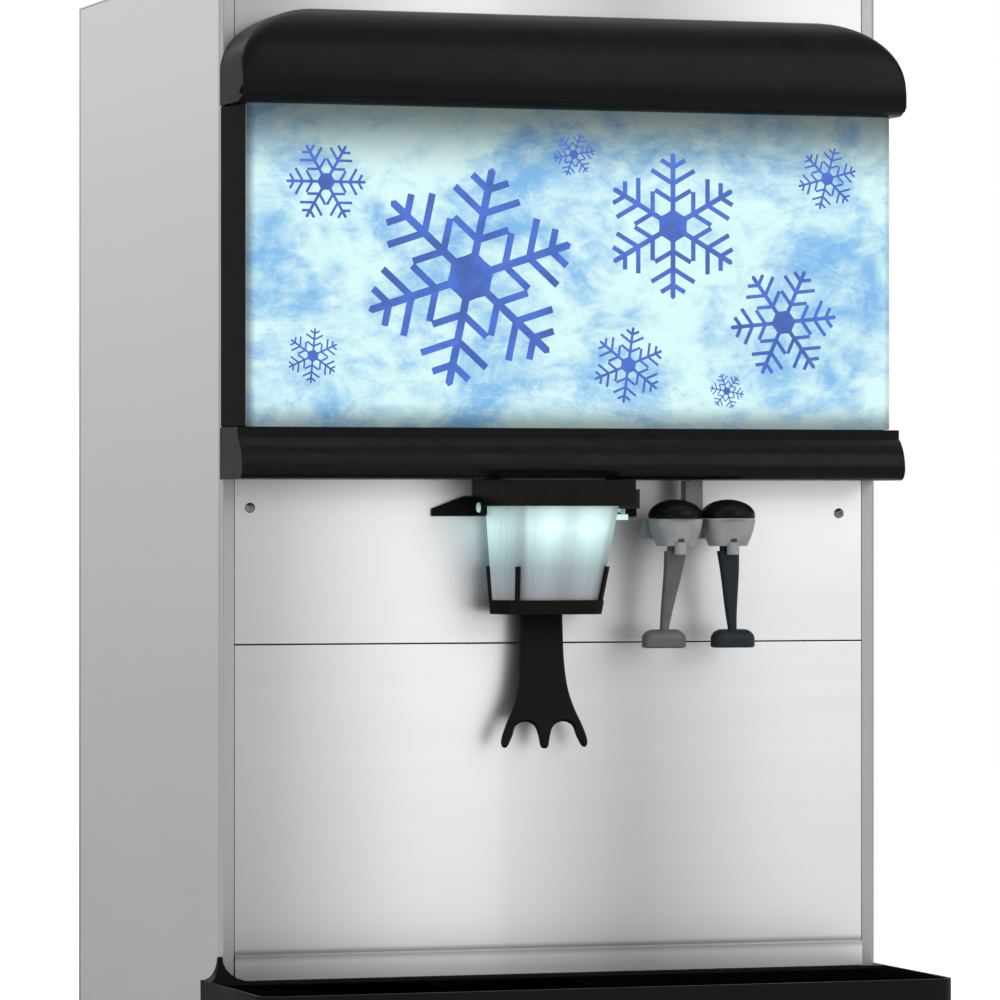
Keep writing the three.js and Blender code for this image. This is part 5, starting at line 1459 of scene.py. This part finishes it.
class DISPENSER_OT_sign_lens(bpy.types.Operator):
    """Makes the lit lens and prints snow flakes on it"""

    bl_idname = "dispenser.sign_lens"
    bl_label = "Sign lens"

    # Shares of a flake's width, the twigs' width as a share of the stem's, and the way that they point
    hub_share = 0.085
    stem_share = 0.035
    tip_share = 0.485
    twig_width_share = 0.9
    twig_way = Vector((math.sin(math.pi / 3), math.cos(math.pi / 3)))
    # Where the stem leaves the hub, as a share of the hub
    root_share = 1.25
    # Width of a flake that stands out by the full relief
    full_width = 120 * MM

    def execute(self, context):
        dress_nodes(("sign_lens", "sign_lens", 0.8, 30))
        low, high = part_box("sign_lens")
        relief = context.scene.dispenser_sign.print_relief
        spots = []
        for across, up, width, turn in FLAKES:
            centre = (low.x + (high.x - low.x) * across, low.y, low.z + (high.z - low.z) * up)
            for arm in range(FLAKE_ARMS):
                angle = math.radians(turn) + 2 * math.pi * arm / FLAKE_ARMS
                spots.append((centre, (math.pi / 2, angle, 0), width * MM))
        flakes = copies("lens_flakes", self.arm(relief), spots, 1.0, "flake_print")
        dressed(flakes, FINISHES["flake_print"], body="cabinet")
        return {"FINISHED"}

    def arm(self, relief):
        """A sixth of a flake one unit across, flat, with its root on the hub's edge."""
        hub = self.hub_share
        stem = self.stem_share / 2
        half = stem * self.twig_width_share
        way = self.twig_way
        normal = Vector((-way.y, way.x))
        side = []
        for place, reach in TWIG_SHARES:
            root, reach = place / 2, reach / 2
            for edge, ends in ((-1, (stem, reach)), (1, (reach, stem))):
                start = Vector((0, root)) + normal * half * edge
                for end in ends:
                    along = (stem - start.x) / way.x if end == stem else end
                    side.append(tuple(start + way * along))
        hub_half = hub * math.tan(math.pi / FLAKE_ARMS)
        half_outline = [(hub_half, hub), (stem, hub * self.root_share), *side, (stem, self.tip_share)]
        outline = half_outline + [(0, 0.5)] + [(-x, y) for x, y in reversed(half_outline)] + [(0, 0)]
        return as_object("flake_arm", prism(outline, "z", 0, relief / self.full_width))


class DISPENSER_OT_sign_lighting(bpy.types.Operator):
    """Makes the reflector, lamps, holders and driver behind the lens"""

    bl_idname = "dispenser.sign_lighting"
    bl_label = "Sign lighting"

    def execute(self, context):
        dress_nodes(("sign_tray", "white_painted_sheet", 0.3, 30))
        for node in ("lamp_upper", "lamp_lower"):
            low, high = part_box(node)
            centre = (0, (low.y + high.y) / 2, (low.z + high.z) / 2)
            radius = (high.z - low.z) / 2
            glass = rod(radius, low.x, high.x, "x", centre, 32, chamfer=1.5 * MM)
            dressed(as_object(node + "_dressed", glass), FINISHES["lamp_tube"], node)
        dress_nodes(
            ("lamp_holder_left", "white_plastic", 0.8, 30),
            ("lamp_holder_right", "white_plastic", 0.8, 30),
            ("lamp_driver", "dark_metal", 1.2, 30),
        )
        return {"FINISHED"}


# Chute: corners of its foot and of its top, in mm from the middle of the chute on the front panels
CHUTE_FOOT = [(-35.5, -64), (35.5, -64), (45.5, -17), (-45.5, -17)]
CHUTE_TOP = [(-43.5, -91), (43.5, -91), (47, -9), (-47, -9)]
# How far its foot and its top lie under the chute's plane, in mm
CHUTE_SPAN = (89, 11)
CHUTE_CORNER = 9 * MM
CORNER_STEPS = 8


def chute_way(z):
    """Share of the chute's height, nothing at its foot and one at its top."""
    foot, top = (CHUTE_PLANE - drop * MM for drop in CHUTE_SPAN)
    return (z - foot) / (top - foot)


def chute_corners(z):
    way = chute_way(z)
    return [
        (CHUTE_X + (a + (c - a) * way) * MM, FRONT + (b + (d - b) * way) * MM)
        for (a, b), (c, d) in zip(CHUTE_FOOT, CHUTE_TOP)
    ]


def chute_loop(z, growth):
    outline = grown(rounded(chute_corners(z), CHUTE_CORNER, CORNER_STEPS), growth)
    return [(x, y, z) for x, y in outline]


class DISPENSER_OT_chute_shell(bpy.types.Operator):
    """Makes the clear ribbed chute with its pins"""

    bl_idname = "dispenser.chute_shell"
    bl_label = "Chute"

    rib_half = 1.9 * MM
    rib_stand = 0.9 * MM
    rib_shape = ((-1, 0), (-0.6, 0.5), (-0.2, 0.95), (0.2, 0.95), (0.6, 0.5), (1, 0))
    rib_fade = (0.8, 0.88)
    rib_margin = 0.04
    pin_radius = 4 * MM
    pin_chamfer = 0.5 * MM
    pin_setback = 19 * MM
    pin_drop = 15 * MM
    pin_root = 44.5 * MM
    # The switch's lug, from the middle of the chute on the front panels and its plane
    lug = ((43.2 * MM, -50 * MM, -25 * MM), (63 * MM, -42 * MM, -20.5 * MM))

    def execute(self, context):
        sizes = context.scene.dispenser_chute
        low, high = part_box("chute_shell")
        on_sides = (sizes.ribs, sizes.side_ribs, 0, sizes.side_ribs)
        fade_start, fade_end = (low.z + (high.z - low.z) * share for share in self.rib_fade)
        stands = ((low.z, self.rib_stand), (fade_start, self.rib_stand), (fade_end, 0), (high.z, 0))
        outer = [self.loop(z, 0, stand, on_sides) for z, stand in stands]
        inner = [self.loop(z, -sizes.wall, 0, on_sides) for z, stand in stands]
        pin = (0, FRONT - self.pin_setback, CHUTE_PLANE - self.pin_drop)
        ends = ((low.x, CHUTE_X - self.pin_root), (CHUTE_X + self.pin_root, high.x))
        pins = [rod(self.pin_radius, *end, "x", pin, 40, self.pin_chamfer) for end in ends]
        origin = (CHUTE_X, FRONT, CHUTE_PLANE)
        lug = block(*([at + away for at, away in zip(origin, corner)] for corner in self.lug))
        shell = as_object("chute_shell_dressed", hollow(outer, inner), *pins, lug)
        dressed(shell, FINISHES["clear_plastic"], "chute_shell", edge=0.2 * MM, angle=35)
        return {"FINISHED"}

    def loop(self, z, growth, stand, on_sides):
        """Outline of the chute at a height, with ribs that stand on its front and its sides."""
        corners = chute_corners(z)
        arcs = rounded(corners, CHUTE_CORNER, CORNER_STEPS)
        per_corner = CORNER_STEPS + 1
        outline, lifts = [], []
        for side, total in enumerate(on_sides):
            outline += arcs[side * per_corner : (side + 1) * per_corner]
            lifts += [0] * per_corner
            start, end = Vector(outline[-1]), Vector(arcs[(side + 1) % 4 * per_corner])
            along = (end - start).normalized()
            for i in range(total):
                share = self.rib_margin + (1 - 2 * self.rib_margin) * (i + 0.5) / total
                place = start + (end - start) * share
                for offset, lift in self.rib_shape:
                    outline.append(tuple(place + along * offset * self.rib_half))
                    lifts.append(lift)
        flat = grown(outline, growth)
        raised = grown(outline, growth + stand)
        ends = zip((Vector(point) for point in flat), (Vector(point) for point in raised), lifts)
        return [(*down.lerp(up, lift), z) for down, up, lift in ends]


# Half of the push lever's outline in mm, from its head down and round its prongs to the middle one's tip
LEVER_HALF = [
    (18, 472.2), (18, 440), (18.6, 425), (20, 412), (22.4, 401), (26.5, 389.5), (31, 380), (34.3, 372),
    (36.2, 365.5), (36, 361.5), (33.8, 359.6), (31.2, 361.2), (27.2, 369), (24, 377), (16, 380.3),
    (8, 377), (4.8, 369), (3.3, 361.4), (1.8, 359.2), (0, 358.8),
]


class DISPENSER_OT_chute_lever(bpy.types.Operator):
    """Makes the cradle round the chute's foot and the push lever under it"""

    bl_idname = "dispenser.chute_lever"
    bl_label = "Chute lever"

    # The ring and its posts: their wall round the chute, and how far the ring reaches into it
    ring = (466.7 * MM, 477.7 * MM)
    wall = 3 * MM
    grip = 1 * MM
    post_top = 505 * MM
    post_sink = 1.5 * MM
    # First of a corner's points that its post follows, and how many
    post_first = 3
    post_points = 3
    # The lever's plate, from the front panels, and the ribs behind it
    setback = 16 * MM
    lean = 0.085
    front_chamfer = 1.8 * MM
    flanges = (-16.2 * MM, 0, 16.2 * MM)
    flange_half = 1.4 * MM
    flange_foot = 382 * MM
    flange_sink = 2 * MM
    flange_depth = 4.5 * MM

    def execute(self, context):
        sizes = context.scene.dispenser_chute
        low, high = self.ring
        outer = [chute_loop(z, self.wall) for z in (low, high)]
        passage = [chute_loop(z, -self.grip) for z in (low, high)]
        head = LEVER_HALF[0][1] * MM
        back = FRONT - self.setback
        half = smooth_line([(x * MM, z * MM) for x, z in LEVER_HALF], 4)
        outline = half + [(-x, z) for x, z in half[-2::-1]]
        leaning = Matrix.Identity(4)
        leaning[0][3] = CHUTE_X
        leaning[1][2] = self.lean
        leaning[1][3] = -self.lean * head
        shoulder = back - sizes.lever_plate + self.front_chamfer
        loops = [[(x, y, z) for x, z in outline] for y in (back, shoulder)]
        front = grown(outline, -self.front_chamfer)
        loops.append([(x, back - sizes.lever_plate, z) for x, z in front])
        plate = moved(loft(loops), leaning)
        near, far = back - self.flange_sink, back + self.flange_depth
        flanges = []
        for x in self.flanges:
            corners = ((x - self.flange_half, near, self.flange_foot), (x + self.flange_half, far, head))
            flanges.append(moved(block(*corners), leaning))
        posts = [self.post(corner, high) for corner in range(4)]
        made = as_object("chute_lever_dressed", hollow(outer, passage), *posts, plate, *flanges)
        dressed(made, FINISHES["lever_black"], "chute_lever", edge=0.6 * MM, angle=35)
        return {"FINISHED"}

    def post(self, corner, foot):
        """A slim post that follows one rounded corner of the chute."""
        first = corner * (CORNER_STEPS + 1) + self.post_first
        points = slice(first, first + self.post_points)
        loops = []
        for z in (foot - self.post_sink, self.post_top):
            outside = chute_loop(z, self.wall)[points]
            inside = chute_loop(z, GAP)[points]
            loops.append(outside + inside[::-1])
        return loft(loops)


class DISPENSER_OT_chute_works(bpy.types.Operator):
    """Makes the bracket, throat, gate, spring and switch round the chute"""

    bl_idname = "dispenser.chute_works"
    bl_label = "Chute works"

    def execute(self, context):
        dress_nodes(
            ("chute_bracket", "black_plastic", 0.6, 30),
            ("drop_throat", "white_liner", 0.5, 30),
            ("ice_gate", "bright_steel", 0.4, 30),
            ("microswitch", "switch_black", 0.4, 30),
            ("switch_plunger", "white_plastic", 0.2, 30),
            ("chute_spring", "bright_steel", 0, 30),
        )
        return {"FINISHED"}


# Water station
class DISPENSER_OT_water_valves(bpy.types.Operator):
    """Makes the two valves with their caps and push levers"""

    bl_idname = "dispenser.water_valves"
    bl_label = "Water valves"

    dome_steps = 12
    # The left lever is painted grey, painted light from the left; both levers are alike
    lever_finishes = {"left": "lever_grey", "right": "lever_blue"}
    # How far pieces run into each other, and cuts past a face
    overlap = 3 * MM
    # Body: its corners, how much it narrows, its nozzle and the slot for the lever
    body_corner = 9 * MM
    body_taper = 0.3
    nozzle_drop = 7 * MM
    nozzle_radius = 5 * MM
    nozzle_chamfer = 0.4 * MM
    bore_radius = 3 * MM
    bore_ends = (1 * MM, 6 * MM)
    slot_half = 6 * MM
    slot_roof = 4.7 * MM
    # Cap: its brim, and that one's lower edge as how far in and how far up, in mm
    brim = 2.5 * MM
    brim_edge = ((1, 0), (0.3, 0.4), (0, 1))
    # Lever: its hub and neck, its arm's half sizes at foot and head, and how far the arm bows
    hub = 5 * MM
    neck_half = (5.5 * MM, 4.7 * MM)
    shoulder_drop = 13 * MM
    arm_steps = 9
    arm_ends = ((3 * MM, 3.5 * MM), (9 * MM, 5 * MM))
    arm_bow = 0.12
    arm_corner_share = 0.75
    # Pad at its foot: its half depth, edge and rim, and how far in its dome draws
    pad_half = 9.5 * MM
    pad_edge = 1.2 * MM
    pad_rim = 7 * MM
    pad_height = 15 * MM
    pad_draw = 9 * MM
    pad_tip = 0.5 * MM
    pad_corner_share = 0.84

    def execute(self, context):
        for side in ("left", "right"):
            body, cap, lever = (f"{part}_{side}" for part in ("valve_body", "valve_cap", "water_lever"))
            self.body(body)
            self.cap(cap)
            self.lever(lever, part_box(cap), self.lever_finishes[side])
        dress_nodes(
            ("water_manifold", "valve_grey", 0.8, 30),
            ("water_line", "bright_steel", 0.3, 40),
        )
        return {"FINISHED"}

    def body(self, node):
        """A body that narrows towards its foot, slotted for the lever, with a short nozzle."""
        low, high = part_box(node)
        centre = (low + high) / 2
        half_x, half_y = (high.x - low.x) / 2, (high.y - low.y) / 2
        foot = low.z + self.nozzle_drop
        loops = []
        for i in range(self.dome_steps + 1):
            way = 1 - i / self.dome_steps
            size = 1 - self.body_taper * way**1.6
            outline = rounded(
                oblong(-half_x * size, half_x * size, -half_y * size, half_y * size),
                self.body_corner * size,
            )
            z = high.z + (foot - high.z) * way
            loops.append([(centre.x + x, centre.y + y, z) for x, y in outline])
        nozzle = (centre.x, centre.y - half_y + self.nozzle_radius, 0)
        joins = [
            rod(self.nozzle_radius, low.z, foot + self.overlap, "z", nozzle, 40, self.nozzle_chamfer)
        ]
        slot, overlap = self.slot_half, self.overlap
        below, above = self.bore_ends
        cuts = [
            block(
                (centre.x - slot, centre.y - slot, foot - overlap),
                (centre.x + slot, high.y + overlap, high.z - self.slot_roof),
            ),
            rod(self.bore_radius, low.z - below, foot + above, "z", nozzle, 32),
        ]
        made = carved(node + "_dressed", loft(loops), joins, cuts)
        dressed(made, FINISHES["valve_grey"], node, edge=0.6 * MM, angle=35)

    def cap(self, node):
        """A thin-brimmed umbrella of a cap."""
        low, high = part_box(node)
        centre = ((low.x + high.x) / 2, (low.y + high.y) / 2, 0)
        radius = (high.x - low.x) / 2
        shoulder = low.z + self.brim
        profile = [(0, low.z)]
        profile += [(radius - inward * MM, low.z + up * MM) for inward, up in self.brim_edge]
        for i in range(self.dome_steps):
            angle = math.pi / 2 * i / self.dome_steps
            profile.append((radius * math.cos(angle), shoulder + (high.z - shoulder) * math.sin(angle)))
        profile.append((0, high.z))
        cap = as_object(node + "_dressed", turned(profile, "z", centre, 72))
        dressed(cap, FINISHES["black_gloss"], node)

    def lever(self, node, cap_box, finish_name):
        """A tapering arm with a hub at its head and a domed pad at its foot."""
        low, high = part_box(node)
        pivot_x = (cap_box[0].x + cap_box[1].x) / 2
        pivot_y = (cap_box[0].y + cap_box[1].y) / 2
        pad = ((low.x + high.x) / 2, high.y - self.pad_half)
        pad_top = low.z + self.pad_height
        hub = high.z - self.hub
        shoulder = hub - self.shoulder_drop
        loops = []
        for i in range(self.arm_steps + 1):
            way = i / self.arm_steps
            half_x, half_y = (
                low_half + (high_half - low_half) * way for low_half, high_half in zip(*self.arm_ends)
            )
            x = pad[0] + (pivot_x - pad[0]) * way
            y = pad[1] + (pivot_y - pad[1]) * (way - self.arm_bow * math.sin(2 * math.pi * way))
            z = pad_top - self.overlap + (shoulder - pad_top + self.overlap) * way
            corner = min(half_x, half_y) * self.arm_corner_share
            outline = rounded(oblong(x - half_x, x + half_x, y - half_y, y + half_y), corner, 5)
            loops.append([(px, py, z) for px, py in outline])
        half_x, half_y = self.neck_half
        ends = (pivot_x - half_x, pivot_x + half_x)
        neck = block(
            (ends[0], pivot_y - half_y, shoulder - self.overlap), (ends[1], pivot_y + half_y, hub)
        )
        barrel = rod(self.hub, *ends, "x", (0, pivot_y, hub), 32)
        made = carved(node + "_dressed", loft(loops), joins=[neck, barrel, self.pad(low, high)])
        dressed(made, FINISHES[finish_name], node, edge=0.5 * MM, angle=35)

    def pad(self, low, high):
        """A pad with an upright rim and a domed top that faces up."""
        half_x, half_y = (high.x - low.x) / 2, self.pad_half
        centre = (low.x + half_x, high.y - half_y)
        levels = [(self.pad_edge, low.z), (0, low.z + self.pad_edge)]
        for i in range(self.dome_steps // 2 + 1):
            angle = math.pi / 2 * i / (self.dome_steps // 2)
            rise = (self.pad_height - self.pad_rim) * math.sin(angle)
            levels.append((self.pad_draw * (1 - math.cos(angle)), low.z + self.pad_rim + rise))
        return loft([self.pad_loop(centre, half_x, half_y, draw, z) for draw, z in levels])

    def pad_loop(self, centre, half_x, half_y, draw, z):
        reach_x, reach_y = half_x - draw, max(half_y - draw, self.pad_tip)
        corner = reach_y * self.pad_corner_share
        outline = rounded(oblong(-reach_x, reach_x, -reach_y, reach_y), corner, 6)
        return [(centre[0] + x, centre[1] + y, z) for x, y in outline]


# Drip tray
class DISPENSER_OT_drip_tray(bpy.types.Operator):
    """Makes the drip tray and its lift-out grid"""

    bl_idname = "dispenser.drip_tray"
    bl_label = "Drip tray"

    def execute(self, context):
        dress_nodes(("drip_tray", "tray_black", 1.0, 35), ("cup_rest", "rest_black", 0.8, 35))
        return {"FINISHED"}


# Inner works
class DISPENSER_OT_hopper(bpy.types.Operator):
    """Makes the hopper's liner, its foam and its drain"""

    bl_idname = "dispenser.hopper"
    bl_label = "Hopper"

    def execute(self, context):
        dress_nodes(
            ("hopper_tub", "white_liner", 0.8, 35),
            ("foam_jacket", "insulation_foam", 1.5, 30),
            ("hopper_drain_tube", "white_plastic", 0.4, 30),
        )
        return {"FINISHED"}


class DISPENSER_OT_drive(bpy.types.Operator):
    """Makes the gearmotor, the shaft and the wheel and bar that it turns"""

    bl_idname = "dispenser.drive"
    bl_label = "Drive"

    def execute(self, context):
        dress_nodes(
            ("shaft_bearing", "bronze_bush", 0.6, 35),
            ("paddle_wheel", "white_plastic", 0.6, 35),
            ("agitator_bar", "bright_steel", 0.6, 35),
            ("drive_shaft", "bright_steel", 0.6, 35),
            ("gearbox", "cast_housing", 0.6, 35),
            ("drive_motor", "dark_metal", 0.6, 35),
        )
        return {"FINISHED"}


class DISPENSER_OT_electrics(bpy.types.Operator):
    """Makes the control box, the cord gland and the rocker switch"""

    bl_idname = "dispenser.electrics"
    bl_label = "Electrics"

    def execute(self, context):
        dress_nodes(
            ("control_box", "galvanised_steel", 0.4, 35),
            ("control_box_cover", "galvanised_steel", 0.4, 35),
            ("cord_gland", "switch_black", 0.4, 35),
            ("switch_bezel", "switch_black", 0.4, 35),
            ("power_rocker", "switch_black", 0.4, 35),
        )
        return {"FINISHED"}


PIECE_OPERATORS = (
    DISPENSER_OT_stage,
    DISPENSER_OT_panels,
    DISPENSER_OT_legs,
    DISPENSER_OT_screws,
    DISPENSER_OT_lid,
    DISPENSER_OT_sign_hood,
    DISPENSER_OT_sign_frame,
    DISPENSER_OT_sign_lens,
    DISPENSER_OT_sign_lighting,
    DISPENSER_OT_chute_shell,
    DISPENSER_OT_chute_lever,
    DISPENSER_OT_chute_works,
    DISPENSER_OT_water_valves,
    DISPENSER_OT_drip_tray,
    DISPENSER_OT_hopper,
    DISPENSER_OT_drive,
    DISPENSER_OT_electrics,
)
SETTINGS = {
    "dispenser_cabinet": CabinetSizes,
    "dispenser_sign": SignSizes,
    "dispenser_chute": ChuteSizes,
    "dispenser_colours": DispenserColours,
}


class DISPENSER_PT_pieces(bpy.types.Panel):
    """Lists the settings and the pieces of the dispenser"""

    bl_idname = "DISPENSER_PT_pieces"
    bl_label = "Ice dispenser"
    bl_space_type = "VIEW_3D"
    bl_region_type = "UI"
    bl_category = "Dispenser"

    def draw(self, context):
        layout = self.layout
        for attribute, kind in SETTINGS.items():
            column = layout.column(align=True)
            for name in kind.__annotations__:
                column.prop(getattr(context.scene, attribute), name)
        for operator in PIECE_OPERATORS:
            layout.operator(operator.bl_idname)


def register():
    for kind in (*SETTINGS.values(), *PIECE_OPERATORS, DISPENSER_PT_pieces):
        bpy.utils.register_class(kind)
    for attribute, kind in SETTINGS.items():
        setattr(bpy.types.Scene, attribute, bpy.props.PointerProperty(type=kind))


def unregister():
    for attribute in SETTINGS:
        delattr(bpy.types.Scene, attribute)
    for kind in reversed((*SETTINGS.values(), *PIECE_OPERATORS, DISPENSER_PT_pieces)):
        bpy.utils.unregister_class(kind)


def main():
    register()
    make_finishes()
    for operator in PIECE_OPERATORS:
        group_name, piece_name = operator.bl_idname.split(".")
        getattr(getattr(bpy.ops, group_name), piece_name)()


if __name__ == "__main__":
    main()
